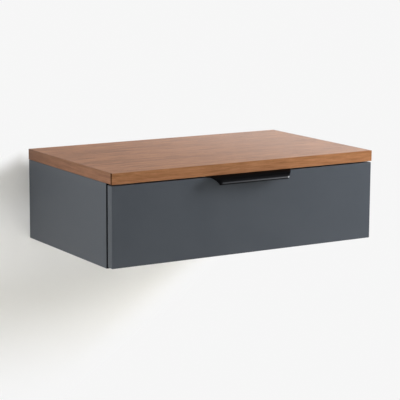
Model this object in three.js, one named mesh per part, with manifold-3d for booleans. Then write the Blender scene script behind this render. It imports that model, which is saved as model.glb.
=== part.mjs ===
// Wall-hung nightstand with one drawer: a walnut-veneered top on a grey lacquered carcass, a full-width
// drawer front with a black edge pull, telescopic ball runners, and two hooked rails that hang it on the
// wall. Millimetres. +Z is up, the wall is the plane y = 0 and the drawer opens towards -Y. The origin is
// the middle of the wall rail's back face.
import * as THREE from "three";
import { mergeVertices } from "three/addons/utils/BufferGeometryUtils.js";
import { ConvexGeometry } from "three/addons/geometries/ConvexGeometry.js";
import Module from "manifold-3d";

// Driving dimensions
const topWidth = 500;
const topDepth = 300;
const topThickness = 18;
const bandThickness = 1; // edging on the top's sides
const frontBandThickness = 2.5; // and the lipping on its front
const bandEase = 0.5; // their outer edges
const topOverhang = 0.5; // past the carcass at each side
const carcassHeight = 136; // up to the underside of the top
const boardThickness = 15; // sides, bottom and rear rail
const frontThickness = 15;
const frontSetBack = 1; // drawer front behind the top's front edge
const frontGap = 4; // drawer front to the carcass's front edges
const frontRise = 3; // drawer front's lower edge above the carcass's
const arris = 0.8; // eased edge of a lacquered board
const seatGap = 0.2; // between pieces that bear on each other
const fitGap = 0.3; // round a piece that sits in a hole, slot or groove
const overrun = 2; // how far a cutter runs past the face that it opens

// Back panel, rear rail and their grooves
const backThickness = 3;
const grooveDepth = 5;
const rearRailHeight = 70;

// Hooked rails on the wall and on the carcass
const hookThickness = 2;
const hookBaseHeight = 20;
const hookFlangeHeight = 10;
const hookRailInset = 34.5; // rail's end to the side board
const hookRailDrop = 16; // carcass rail below the top
const wallHoleRadius = 2.75;
const wallHoleInset = 35;
const wallHoleCount = 4;
const hookScrewInset = 50;
const hookScrewCount = 3;

// Drawer box
const drawerSideThickness = 12;
const drawerLift = 10; // drawer box above the carcass's bottom board
const drawerHeadroom = 16; // and below the top
const drawerRearGap = 6.7; // and before the back panel
const drawerBottomThickness = 4;
const drawerBottomRise = 10; // underside of the drawer's bottom above the sides' lower edges
const drawerGrooveDepth = 6;

// Telescopic runner: three nested channels with two cages of balls, 12.7 thick and 250 long in all
const runnerSetBack = 1; // behind the carcass's front edge
const runnerRearGap = 1.7; // before the back panel
const runnerHeight = 35;
const runnerSheet = 1.2;
const ballRadius = 1.5;
const cageSheet = 0.8;
const cageGap = 0.45; // outer cage to the webs beside it
const cageLength = 110;
const ballsPerRow = 4;
const cageMargin = 8; // end of the cage to its last ball
const runnerScrewInset = 37;
const accessHoleRadius = 5;

// Edge pull
const pullLength = 160;
const pullLipLength = 132;
const pullOffset = 3; // to the right of the drawer front's middle, as in the photo
const pullSheet = 1.5;
const pullFlat = 1.5; // level part in front of the drawer front
const pullBendRadius = 16;
const pullBendAngle = THREE.MathUtils.degToRad(76);
const pullClearance = 0.5; // below the top
const pullFlangeHeight = 20;
const pullScrewSpacing = 96;
const pullScrewDrop = 12;

// Fixings
const camRadius = 7.5;
const camSetBack = 24; // cam centre to the joint
const camFloor = 2.5; // board left behind a cam
const camSlotWidth = 1.2;
const camSlotDepth = 1.5;
const camSlotLength = 9;
const camInset = 40; // cam joints from the carcass's front and from its rear rail
const boltThreadLength = 10;
const boltThreadRadius = 3;
const boltShaftRadius = 2.6;
const boltNeckRadius = 1.7;
const boltNeckLength = 3;
const boltHeadRadius = 3.2;
const boltHeadLength = 4;
const drawerCamRise = 30; // drawer cams above the runner's middle
const dowelRadius = 4;
const dowelLength = 30;
const dowelBite = 10; // length of a dowel in the side board
const dowelInset = 45;
const screwHeadRadius = 3.3;
const screwShankRadius = 1.7;
const screwTipLength = 2.5;
const screwFloor = 2.4; // board left beyond a screw's tip
const recessArm = 1.9;
const recessWidth = 0.8;
const recessDepth = 1.1;
const bumperRadius = 4;
const bumperInset = 40;
const bumperShares = [[0, 0], [1, 0], [0.8, 0.6], [0.4, 1], [0, 1]]; // of its radius and height
const mergeTolerance = 1e-4;

// How finely round shapes are cut into flats
const camSegments = 20;
const roundSegments = 12;
const ballSegments = 8;
const ballRings = 5;
const bendSegments = 7;

// Sizes that follow
const bodyWidth = topWidth - 2 * topOverhang;
const innerWidth = bodyWidth - 2 * boardThickness;
const frontReveal = pullSheet + seatGap + pullClearance; // between the top and the drawer front
const frontFaceY = -(topDepth - frontSetBack);
const frontBackY = frontFaceY + frontThickness;
const carcassFrontY = frontBackY + frontGap;
const hookGap = hookThickness + 2 * fitGap; // slot behind a hook's flange
const hookDepth = 2 * (hookThickness + hookGap) - fitGap; // both rails, hooked together
const hookKnee = hookThickness * (Math.SQRT2 - 1); // rise of a 45 degree bend's outer corner
const rearRailBackY = -hookDepth - seatGap;
const rearRailFrontY = rearRailBackY - boardThickness;
const backPanelBackY = rearRailFrontY - seatGap;
const backPanelFrontY = backPanelBackY - backThickness;
const hookRailLength = innerWidth - 2 * hookRailInset;
const carcassRailZ = carcassHeight - hookRailDrop - hookBaseHeight; // bend of the carcass rail
const hookStep = hookThickness + hookGap; // base to flange
const wallRailZ = carcassRailZ - (hookDepth - hookStep) - hookKnee - fitGap - hookStep - hookFlangeHeight;
const wallRailMiddleZ = wallRailZ - hookBaseHeight / 2;

// Runner profiles across, from the side board towards the drawer, and up from the middle
const outerCageAcross = runnerSheet + cageGap;
const middleAcross = outerCageAcross + cageSheet + cageGap;
const innerCageAcross = middleAcross + runnerSheet + fitGap;
const innerAcross = innerCageAcross + cageSheet + 2 * fitGap;
const outerBallAcross = middleAcross + runnerSheet + ballRadius;
const innerBallAcross = innerAcross + seatGap + ballRadius;
const outerFlangeEnd = outerBallAcross + ballRadius + cageSheet / 2 + fitGap + runnerSheet;
const middleFlangeEnd = innerBallAcross + ballRadius + seatGap + runnerSheet;
const runnerThickness = middleFlangeEnd + cageSheet + fitGap + runnerSheet;
const ballRoom = 2 * (ballRadius + fitGap); // between the channels' flanges
const outerTop = runnerHeight / 2;
const middleTop = outerTop - runnerSheet - ballRoom;
const innerTop = middleTop - runnerSheet - ballRoom;

// Drawer box and runner in the carcass
const drawerWidth = innerWidth - 2 * (runnerThickness + 2 * seatGap);
const drawerInnerWidth = drawerWidth - 2 * drawerSideThickness;
const drawerGrooveX = drawerInnerWidth / 2 + drawerGrooveDepth;
const drawerZ = boardThickness + drawerLift;
const drawerTopZ = carcassHeight - drawerHeadroom;
const drawerBottomZ = drawerZ + drawerBottomRise;
const drawerFloorZ = drawerBottomZ + drawerBottomThickness;
const drawerBackY = backPanelFrontY - drawerRearGap;
const runnerFrontY = carcassFrontY + runnerSetBack;
const runnerBackY = backPanelFrontY - runnerRearGap;
const runnerLength = runnerBackY - runnerFrontY;
const runnerMiddleY = (runnerFrontY + runnerBackY) / 2;
const runnerMiddleZ = (drawerZ + drawerTopZ) / 2;
const longScrewLength = hookThickness + seatGap + boardThickness - screwFloor;
const shortScrewLength = runnerSheet + seatGap + drawerSideThickness - screwFloor;

const X = new THREE.Vector3(1, 0, 0);
const Y = new THREE.Vector3(0, 1, 0);
const Z = new THREE.Vector3(0, 0, 1);

const materials = {
  veneer: new THREE.MeshStandardMaterial({ color: 0xa5775a, roughness: 0.5 }),
  lacquer: new THREE.MeshStandardMaterial({ color: 0x555a61, roughness: 0.45 }),
  fibreboard: new THREE.MeshStandardMaterial({ color: 0xb59b7c, roughness: 0.8 }),
  drawerBoard: new THREE.MeshStandardMaterial({ color: 0x6a6c70, roughness: 0.6 }),
  blackMetal: new THREE.MeshStandardMaterial({ color: 0x1b1b1d, roughness: 0.4, metalness: 0.4 }),
  zinc: new THREE.MeshStandardMaterial({ color: 0xb8bcc0, roughness: 0.35, metalness: 1 }),
  aluminium: new THREE.MeshStandardMaterial({ color: 0xc4c6c8, roughness: 0.4, metalness: 1 }),
  beech: new THREE.MeshStandardMaterial({ color: 0xd2b48c, roughness: 0.7 }),
  rubber: new THREE.MeshStandardMaterial({ color: 0xdcdcd8, roughness: 0.6 }),
};

const manifold = await Module();
manifold.setup();

// A closed geometry as a solid that can be cut and joined.
function solidOf(geometry) {
  const bare = new THREE.BufferGeometry();
  bare.setAttribute("position", geometry.getAttribute("position").clone());
  if (geometry.index) bare.setIndex(geometry.index.clone());
  const merged = mergeVertices(bare, mergeTolerance);
  return new manifold.Manifold(
    new manifold.Mesh({
      numProp: 3,
      vertProperties: merged.attributes.position.array,
      triVerts: new Uint32Array(merged.index.array),
    }),
  );
}

// A solid as a flat-shaded geometry.
function geometryOf(solid) {
  const mesh = solid.getMesh();
  const geometry = new THREE.BufferGeometry()
    .setAttribute("position", new THREE.BufferAttribute(new Float32Array(mesh.vertProperties), 3))
    .setIndex(new THREE.BufferAttribute(new Uint32Array(mesh.triVerts), 1))
    .toNonIndexed();
  geometry.computeVertexNormals();
  return geometry;
}

const subtract = (geometry, ...cutters) =>
  geometryOf(cutters.reduce((solid, cutter) => solid.subtract(solidOf(cutter)), solidOf(geometry)));
const join = (...geometries) => geometryOf(geometries.map(solidOf).reduce((a, b) => a.add(b)));
const intersect = (a, b) => geometryOf(solidOf(a).intersect(solidOf(b)));

// A box between two corners.
function boxBetween([x0, y0, z0], [x1, y1, z1]) {
  const box = new THREE.BoxGeometry(x1 - x0, y1 - y0, z1 - z0);
  return box.translate((x0 + x1) / 2, (y0 + y1) / 2, (z0 + z1) / 2);
}

// A box round the origin with its twelve edges eased at 45 degrees.
function easedBox(width, depth, height, ease) {
  const half = [width / 2, depth / 2, height / 2];
  const points = [];
  for (const sx of [-1, 1])
    for (const sy of [-1, 1])
      for (const sz of [-1, 1])
        for (const kept of [0, 1, 2]) {
          const [x, y, z] = half.map((h, axis) => (axis === kept ? h : h - ease));
          points.push(new THREE.Vector3(sx * x, sy * y, sz * z));
        }
  return new ConvexGeometry(points);
}

// A named mesh at its place.
function piece(name, geometry, material, [x, y, z] = [0, 0, 0]) {
  const mesh = new THREE.Mesh(geometry, material);
  mesh.name = name;
  mesh.position.set(x, y, z);
  return mesh;
}

// A board between two corners, centred on its own position.
function board(name, from, to, material, ease = 0) {
  const size = to.map((v, i) => v - from[i]);
  const middle = to.map((v, i) => (v + from[i]) / 2);
  const geometry = ease ? easedBox(...size, ease) : new THREE.BoxGeometry(...size);
  return piece(name, geometry, material, middle);
}

// A flat shape, or one made of its corner points, drawn out along its own +Z.
function extruded(profile, depth) {
  const shape =
    profile instanceof THREE.Shape
      ? profile
      : new THREE.Shape(profile.map(([a, b]) => new THREE.Vector2(a, b)));
  return new THREE.ExtrudeGeometry(shape, { depth, bevelEnabled: false, curveSegments: bendSegments });
}

// A profile drawn as [forward, up] points or a Shape, drawn out along X with its middle at x = 0.
function drawnAlongX(profile, length) {
  return extruded(profile, length)
    .applyMatrix4(new THREE.Matrix4().makeBasis(Y.clone().negate(), Z, X.clone().negate()))
    .translate(length / 2, 0, 0);
}

// A profile drawn as [x, z] points, drawn out along Y with its middle at y = 0.
function drawnAlongY(profile, length) {
  return extruded(profile, length)
    .rotateX(Math.PI / 2)
    .translate(0, length / 2, 0);
}

// A turned shape about Z, from [radius, height] points that go up and start and end on the axis.
function turned(profile, segments = roundSegments) {
  const points = profile.map(([r, h]) => new THREE.Vector2(r, h));
  return new THREE.LatheGeometry(points, segments).rotateX(Math.PI / 2);
}

const rod = (radius, z0, z1, segments = roundSegments) =>
  turned([[0, z0], [radius, z0], [radius, z1], [0, z1]], segments);

// Turns a mesh or group so that its own +Z runs along one direction and its own +X along another.
function aim(object, zAxis, xAxis = Math.abs(zAxis.x) > 0.5 ? Y : X) {
  const y = new THREE.Vector3().crossVectors(zAxis, xAxis);
  object.quaternion.setFromRotationMatrix(new THREE.Matrix4().makeBasis(xAxis, y, zAxis));
  return object;
}

// Takes from a mesh the holes of the fixings that go through it, and any other cutters, given in the part's
// frame.
function cut(mesh, fixings, cutters = []) {
  part.updateMatrixWorld(true);
  const toMesh = mesh.matrixWorld.clone().invert();
  const intoMesh = (geometry, from) =>
    geometry.clone().applyMatrix4(new THREE.Matrix4().multiplyMatrices(toMesh, from.matrixWorld));
  const holes = fixings.map((fixing) => intoMesh(fixing.userData.hole, fixing));
  mesh.geometry = subtract(mesh.geometry, ...holes, ...cutters.map((cutter) => intoMesh(cutter, part)));
}

// The part, with its pieces' heights counted from the carcass's lower edge.
const part = new THREE.Group();
part.position.z = -wallRailMiddleZ;

// Countersunk screw: its head's face is at its own z = 0 and it points along -Z.
function screw(name, length, at, direction) {
  const r = screwShankRadius;
  const R = screwHeadRadius;
  const body = turned([[0, -length], [r, screwTipLength - length], [r, r - R], [R, 0], [0, 0]]);
  const recess = [[recessArm, recessWidth / 2], [recessWidth / 2, recessArm]].map(([x, y]) =>
    boxBetween([-x, -y, -recessDepth], [x, y, overrun]),
  );
  const mesh = piece(name, subtract(body, ...recess), materials.zinc, at);
  const wide = R + fitGap;
  const narrow = r + fitGap;
  mesh.userData.hole = turned([
    [0, -length - fitGap],
    [narrow, -length - fitGap],
    [narrow, r - R],
    [wide, 0],
    [wide, overrun],
    [0, overrun],
  ]);
  return aim(mesh, direction.clone().negate());
}

// Cam and bolt that draw two boards together. Its own z = 0 is the joint, the bolt is screwed in below it,
// and the cam sits above it in a board of the given thickness, with its slot facing +X.
function camJoint(name, thickness, at, boltAxis, camFace) {
  const joint = new THREE.Group();
  joint.position.set(...at);
  aim(joint, boltAxis, camFace);

  const headFrom = camSetBack - boltHeadLength / 2;
  const headTo = camSetBack + boltHeadLength / 2;
  const neckFrom = headFrom - boltNeckLength;
  const bolt = piece(
    `${name}_bolt`,
    turned([
      [0, -boltThreadLength],
      [boltThreadRadius, -boltThreadLength],
      [boltThreadRadius, -seatGap],
      [boltShaftRadius, -seatGap],
      [boltShaftRadius, neckFrom],
      [boltNeckRadius, neckFrom],
      [boltNeckRadius, headFrom],
      [boltHeadRadius, headFrom],
      [boltHeadRadius, headTo],
      [0, headTo],
    ]),
    materials.zinc,
  );
  const threadBore = boltThreadRadius + fitGap;
  const shaftBore = boltHeadRadius + fitGap;
  bolt.userData.hole = turned([
    [0, -boltThreadLength - fitGap],
    [threadBore, -boltThreadLength - fitGap],
    [threadBore, 0],
    [shaftBore, 0],
    [shaftBore, camSetBack],
    [0, camSetBack],
  ]);

  const depth = thickness - camFloor;
  const face = thickness / 2;
  const disc = (radius, from, to) => rod(radius, from, to, camSegments).applyMatrix4(
    new THREE.Matrix4().makeBasis(Y, Z, X).setPosition(0, 0, camSetBack),
  );
  const tunnel = boxBetween([-shaftBore, -shaftBore, 0], [shaftBore, shaftBore, headTo + fitGap]);
  const slot = boxBetween(
    [face - seatGap - camSlotDepth, -camSlotWidth / 2, camSetBack - camSlotLength / 2],
    [face + overrun, camSlotWidth / 2, camSetBack + camSlotLength / 2],
  );
  const cam = piece(
    `${name}_cam`,
    subtract(disc(camRadius, face - depth + fitGap, face - seatGap), tunnel, slot),
    materials.zinc,
  );
  cam.userData.hole = disc(camRadius + fitGap, face - depth, face + overrun);
  joint.add(bolt, cam);
  part.add(joint);
  return [bolt, cam];
}

// Dowel along X, across the joint between a side board and what it carries.
function dowel(name, side, y, z) {
  const mesh = piece(
    name,
    rod(dowelRadius, -dowelLength / 2, dowelLength / 2),
    materials.beech,
    [side * (innerWidth / 2 + dowelBite - dowelLength / 2), y, z],
  );
  mesh.userData.hole = rod(dowelRadius + fitGap, -dowelLength / 2 - fitGap, dowelLength / 2 + fitGap);
  part.add(aim(mesh, X));
  return mesh;
}

const sides = [["left", -1], ["right", 1]];

// Top: a veneered board with veneer edging on its front and sides.
const top = board(
  "top_panel",
  [-topWidth / 2 + bandThickness + seatGap, -topDepth + frontBandThickness + seatGap, carcassHeight],
  [topWidth / 2 - bandThickness - seatGap, 0, carcassHeight + topThickness],
  materials.veneer,
);
part.add(top);

// Edging as thick as it says and as high as the top, with its two outer edges eased: [out, up] points.
const bandProfile = (thickness) => [
  [0, 0],
  [thickness - bandEase, 0],
  [thickness, bandEase],
  [thickness, topThickness - bandEase],
  [thickness - bandEase, topThickness],
  [0, topThickness],
];
part.add(
  piece("top_edge_front", drawnAlongX(bandProfile(frontBandThickness), topWidth), materials.veneer, [
    0,
    -topDepth + frontBandThickness,
    carcassHeight,
  ]),
);
for (const [label, side] of sides) {
  const length = topDepth - frontBandThickness - seatGap;
  const band = piece(`top_edge_${label}`, drawnAlongX(bandProfile(bandThickness), length), materials.veneer, [
    side * (topWidth / 2 - bandThickness),
    -length / 2,
    carcassHeight,
  ]);
  band.rotation.z = side * (Math.PI / 2);
  part.add(band);
}

// Carcass boards
const sidePanels = sides.map(([label, side]) => {
  const outer = (side * bodyWidth) / 2;
  const inner = (side * innerWidth) / 2;
  const panel = board(
    `side_panel_${label}`,
    [Math.min(outer, inner), carcassFrontY, 0],
    [Math.max(outer, inner), 0, carcassHeight - seatGap],
    materials.lacquer,
    arris,
  );
  part.add(panel);
  return panel;
});
const bottomPanel = board(
  "bottom_panel",
  [-innerWidth / 2 + seatGap, carcassFrontY, 0],
  [innerWidth / 2 - seatGap, 0, boardThickness],
  materials.lacquer,
  arris,
);
const backPanel = board(
  "back_panel",
  [-innerWidth / 2 - grooveDepth + fitGap, backPanelFrontY, boardThickness - grooveDepth + fitGap],
  [innerWidth / 2 + grooveDepth - fitGap, backPanelBackY, carcassHeight + grooveDepth - fitGap],
  materials.fibreboard,
);
const rearRail = board(
  "rear_rail",
  [-innerWidth / 2 + seatGap, rearRailFrontY, carcassHeight - rearRailHeight],
  [innerWidth / 2 - seatGap, rearRailBackY, carcassHeight - seatGap],
  materials.lacquer,
);
part.add(bottomPanel, backPanel, rearRail);

// One cutter makes the groove in the sides, the bottom and the top that holds the back panel.
const backGroove = boxBetween(
  [-innerWidth / 2 - grooveDepth, backPanelFrontY - fitGap / 2, boardThickness - grooveDepth],
  [innerWidth / 2 + grooveDepth, backPanelBackY + fitGap / 2, carcassHeight + grooveDepth],
);

// Cams hold the top on the sides.
const camRows = [["front", carcassFrontY + camInset], ["rear", backPanelFrontY - camInset]];
const topCams = sides.map(([label, side]) =>
  camRows.flatMap(([row, y]) =>
    camJoint(
      `top_${label}_${row}`,
      boardThickness,
      [(side * (bodyWidth - boardThickness)) / 2, y, carcassHeight],
      Z.clone().negate(),
      X.clone().multiplyScalar(-side),
    ),
  ),
);

// Glued dowels hold the bottom and the rear rail between the sides.
const bottomDowels = sides.map(([label, side]) => [
  dowel(`bottom_dowel_${label}_front`, side, carcassFrontY + dowelInset, boardThickness / 2),
  dowel(`bottom_dowel_${label}_rear`, side, -dowelInset, boardThickness / 2),
]);
const rearRailDowels = sides.map(([label, side]) =>
  dowel(
    `rear_rail_dowel_${label}`,
    side,
    (rearRailFrontY + rearRailBackY) / 2,
    carcassHeight - rearRailHeight / 2,
  ),
);

// Soft stops on the bottom board's front edge, which the closed drawer front meets.
for (const [label, side] of sides) {
  const height = frontGap - fitGap - seatGap;
  const bumper = piece(
    `bumper_${label}`,
    turned(bumperShares.map(([r, h]) => [r * bumperRadius, h * height])),
    materials.rubber,
    [side * (innerWidth / 2 - bumperInset), carcassFrontY - seatGap, boardThickness / 2],
  );
  part.add(aim(bumper, Y.clone().negate()));
}

// Hooked rail profile as [out, up] points: a base against the wall or the carcass, a 45 degree bend and a
// flange.
const hookProfile = [
  [0, -hookBaseHeight],
  [hookThickness, -hookBaseHeight],
  [hookThickness, 0],
  [hookThickness + hookStep, hookStep],
  [hookThickness + hookStep, hookStep + hookFlangeHeight],
  [hookStep, hookStep + hookFlangeHeight],
  [hookStep, hookStep + hookKnee],
  [0, hookKnee],
];

// Places of a row whose ends lie inset from the ends of a length, counted from its middle.
const rowOf = (count, length, inset) =>
  Array.from({ length: count }, (_, i) => (i / (count - 1) - 1 / 2) * (length - 2 * inset));

// Wall rail, with the holes for its wall screws.
const wallRail = piece("wall_rail", drawnAlongX(hookProfile, hookRailLength), materials.aluminium, [
  0,
  0,
  wallRailZ,
]);
part.add(wallRail);
cut(
  wallRail,
  [],
  rowOf(wallHoleCount, hookRailLength, wallHoleInset).map((x) =>
    rod(wallHoleRadius, -hookThickness - overrun, overrun)
      .rotateX(-Math.PI / 2)
      .translate(x, 0, wallRailMiddleZ),
  ),
);

// Carcass rail: the same profile turned over, so that its flange drops behind the wall rail's flange.
const carcassRail = piece("carcass_rail", drawnAlongX(hookProfile, hookRailLength), materials.aluminium, [
  0,
  -hookDepth,
  carcassRailZ,
]);
carcassRail.rotation.x = Math.PI;
part.add(carcassRail);
const carcassRailScrews = rowOf(hookScrewCount, hookRailLength, hookScrewInset).map((x, i) =>
  screw(
    `carcass_rail_screw_${i + 1}`,
    longScrewLength,
    [x, hookThickness - hookDepth, carcassRailZ + hookBaseHeight / 2],
    Y.clone().negate(),
  ),
);
part.add(...carcassRailScrews);

// A channel's profile as [across, up] points, with its web at one side and lips on its flanges where they
// are wanted.
function channel(web, flangeEnd, halfHeight, lip) {
  const inside = halfHeight - runnerSheet;
  const towards = Math.sign(flangeEnd - web);
  const webIn = web + towards * runnerSheet;
  const lipIn = flangeEnd - towards * runnerSheet;
  const upper = lip
    ? [[flangeEnd, halfHeight], [flangeEnd, inside - lip], [lipIn, inside - lip], [lipIn, inside]]
    : [[flangeEnd, halfHeight], [flangeEnd, inside]];
  const lower = upper.map(([x, z]) => [x, -z]).reverse();
  return [[web, -halfHeight], [web, halfHeight], ...upper, [webIn, inside], [webIn, -inside], ...lower];
}

// A cage: a thin channel with a row of balls held in each flange.
function cage(name, web, ballAcross, innerFlange) {
  const ballHeight = innerFlange + ballRoom / 2;
  const flangeEnd = ballAcross + ballRadius;
  const outside = ballHeight + cageSheet / 2;
  const inside = ballHeight - cageSheet / 2;
  const strip = drawnAlongY(
    [
      [web, -outside],
      [web, outside],
      [flangeEnd, outside],
      [flangeEnd, inside],
      [web + cageSheet, inside],
      [web + cageSheet, -inside],
      [flangeEnd, -inside],
      [flangeEnd, -outside],
    ],
    cageLength,
  );
  const ball = new THREE.SphereGeometry(ballRadius, ballSegments, ballRings);
  const balls = [-1, 1].flatMap((row) =>
    rowOf(ballsPerRow, cageLength, cageMargin).map((y) =>
      ball.clone().translate(ballAcross, y, row * ballHeight),
    ),
  );
  return piece(name, join(strip, ...balls), materials.zinc);
}

const accessHole = (y) =>
  rod(accessHoleRadius, 0, runnerThickness).rotateY(Math.PI / 2).translate(0, y, 0);

// One runner. Its own origin is the middle of its outer face, and its own +X points towards the drawer.
const runnerScrewY = runnerLength / 2 - runnerScrewInset;
const runners = sides.map(([label, side]) => {
  const runner = new THREE.Group();
  runner.position.set((side * innerWidth) / 2 - side * seatGap, runnerMiddleY, runnerMiddleZ);
  runner.rotation.z = side > 0 ? Math.PI : 0;
  part.add(runner);
  const outer = piece(
    `runner_outer_${label}`,
    drawnAlongY(channel(0, outerFlangeEnd, outerTop, ballRadius), runnerLength),
    materials.zinc,
  );
  const middle = piece(
    `runner_middle_${label}`,
    subtract(
      drawnAlongY(channel(middleAcross, middleFlangeEnd, middleTop, ballRadius), runnerLength),
      accessHole(-runnerScrewY),
      accessHole(runnerScrewY),
    ),
    materials.zinc,
  );
  const inner = piece(
    `runner_inner_${label}`,
    drawnAlongY(channel(runnerThickness, innerAcross, innerTop, 0), runnerLength),
    materials.zinc,
  );
  const outerCage = cage(`ball_cage_outer_${label}`, outerCageAcross, outerBallAcross, middleTop);
  const innerCage = cage(`ball_cage_inner_${label}`, innerCageAcross, innerBallAcross, innerTop);
  const ends = [["front", side * runnerScrewY], ["rear", -side * runnerScrewY]];
  const fixedScrews = ends.map(([end, y]) =>
    screw(`runner_screw_${label}_${end}`, shortScrewLength, [runnerSheet, y, 0], X.clone().negate()),
  );
  const drawerScrews = ends.map(([end, y]) =>
    screw(`drawer_screw_${label}_${end}`, shortScrewLength, [runnerThickness - runnerSheet, y, 0], X),
  );
  runner.add(outer, middle, inner, outerCage, innerCage, ...fixedScrews, ...drawerScrews);
  cut(outer, fixedScrews);
  cut(inner, drawerScrews);
  return { fixedScrews, drawerScrews };
});

// Drawer front, with the edge pull over its upper edge.
const drawerFront = board(
  "drawer_front",
  [-bodyWidth / 2, frontFaceY, frontRise],
  [bodyWidth / 2, frontBackY, carcassHeight - frontReveal],
  materials.lacquer,
  arris,
);
part.add(drawerFront);

// Drawer box: two sides, a back that stands on the bottom, and the bottom in grooves.
const drawerSides = sides.map(([label, side]) => {
  const outer = (side * drawerWidth) / 2;
  const inner = (side * drawerInnerWidth) / 2;
  const panel = board(
    `drawer_side_${label}`,
    [Math.min(outer, inner), frontBackY + seatGap, drawerZ],
    [Math.max(outer, inner), drawerBackY, drawerTopZ],
    materials.drawerBoard,
  );
  part.add(panel);
  return panel;
});
const drawerBottom = board(
  "drawer_bottom",
  [-drawerGrooveX + fitGap, frontBackY - drawerGrooveDepth + fitGap, drawerBottomZ],
  [drawerGrooveX - fitGap, drawerBackY, drawerFloorZ],
  materials.fibreboard,
);
const drawerBack = board(
  "drawer_back",
  [-drawerInnerWidth / 2 + seatGap, drawerBackY - drawerSideThickness, drawerFloorZ + seatGap],
  [drawerInnerWidth / 2 - seatGap, drawerBackY, drawerTopZ],
  materials.drawerBoard,
);
part.add(drawerBottom, drawerBack);
const drawerGroove = boxBetween(
  [-drawerGrooveX, frontBackY - drawerGrooveDepth, drawerBottomZ - fitGap / 2],
  [drawerGrooveX, drawerBackY + overrun, drawerFloorZ + fitGap / 2],
);
const drawerCams = sides.map(([label, side]) =>
  camJoint(
    `drawer_${label}`,
    drawerSideThickness,
    [(side * (drawerWidth - drawerSideThickness)) / 2, frontBackY, runnerMiddleZ + drawerCamRise],
    Y,
    X.clone().multiplyScalar(side),
  ),
);

// Edge pull: a bent sheet over the drawer front's upper edge. Its profile is [forward, up] from the front's
// face and from the sheet's upper surface, with a flange behind the front and a lip that curves down before
// it to a round edge.
const flangeFace = -frontThickness - seatGap;
const lipAngle = Math.PI / 2 - pullBendAngle;
const lipRadius = pullBendRadius - pullSheet / 2;
const lipEdge = [
  pullFlat + lipRadius * Math.cos(lipAngle),
  lipRadius * Math.sin(lipAngle) - pullBendRadius,
];
const pullProfile = new THREE.Shape();
pullProfile.moveTo(flangeFace - pullSheet, -pullFlangeHeight);
pullProfile.lineTo(flangeFace, -pullFlangeHeight);
pullProfile.lineTo(flangeFace, -pullSheet);
pullProfile.lineTo(pullFlat, -pullSheet);
pullProfile.absarc(pullFlat, -pullBendRadius, pullBendRadius - pullSheet, Math.PI / 2, lipAngle, true);
pullProfile.absarc(...lipEdge, pullSheet / 2, lipAngle - Math.PI, lipAngle, false);
pullProfile.absarc(pullFlat, -pullBendRadius, pullBendRadius, lipAngle, Math.PI / 2, false);
pullProfile.lineTo(flangeFace - pullSheet, 0);
const pullReach = lipEdge[0] + pullSheet / 2;
const pullTopZ = carcassHeight - pullClearance;

// Seen from above, slanting ends lead from the full length to the lip's own.
const pullBack = flangeFace - pullSheet - overrun;
const pullPlan = [
  [-pullLength / 2, pullBack],
  [pullLength / 2, pullBack],
  [pullLength / 2, 0],
  [pullLipLength / 2, pullReach],
  [pullLipLength / 2, pullReach + overrun],
  [-pullLipLength / 2, pullReach + overrun],
  [-pullLipLength / 2, pullReach],
  [-pullLength / 2, 0],
];
const pullBlank = extruded(pullPlan, pullFlangeHeight + 2 * overrun)
  .rotateX(Math.PI)
  .translate(0, 0, overrun);
const pull = piece(
  "edge_pull",
  intersect(drawnAlongX(pullProfile, pullLength), pullBlank),
  materials.blackMetal,
  [pullOffset, frontFaceY, pullTopZ],
);
part.add(pull);
const pullScrews = sides.map(([label, side]) =>
  screw(
    `pull_screw_${label}`,
    shortScrewLength,
    [
      pullOffset + (side * pullScrewSpacing) / 2,
      frontFaceY - flangeFace + pullSheet,
      pullTopZ - pullScrewDrop,
    ],
    Y.clone().negate(),
  ),
);
part.add(...pullScrews);

// Holes and grooves in the boards
cut(top, topCams.flat(), [backGroove]);
sides.forEach((_, i) => {
  const dowels = [...bottomDowels[i], rearRailDowels[i]];
  cut(sidePanels[i], [...topCams[i], ...dowels, ...runners[i].fixedScrews], [backGroove]);
  cut(drawerSides[i], [...drawerCams[i], ...runners[i].drawerScrews], [drawerGroove]);
});
cut(bottomPanel, bottomDowels.flat(), [backGroove]);
cut(rearRail, [...rearRailDowels, ...carcassRailScrews]);
cut(carcassRail, carcassRailScrews);
cut(drawerFront, [...drawerCams.flat(), ...pullScrews], [drawerGroove]);
cut(pull, pullScrews);

export default part;
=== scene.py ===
"""Looks of a wall-hung nightstand with one drawer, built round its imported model.

Metres, with sizes written in millimetres times MM. +X is to the right, the wall is the plane y = 0, the
drawer opens towards -Y and +Z is up. The origin is the middle of the wall rail's back face.
"""

import logging
import math
from collections.abc import Callable, Iterator, Sequence
from contextlib import contextmanager
from dataclasses import dataclass
from enum import Enum
from functools import cache, cached_property, partial
from itertools import pairwise
from typing import Any

import bmesh
import bpy
from bpy.types import Material, NodeTree, Object
from mathutils import Matrix, Vector


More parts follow.
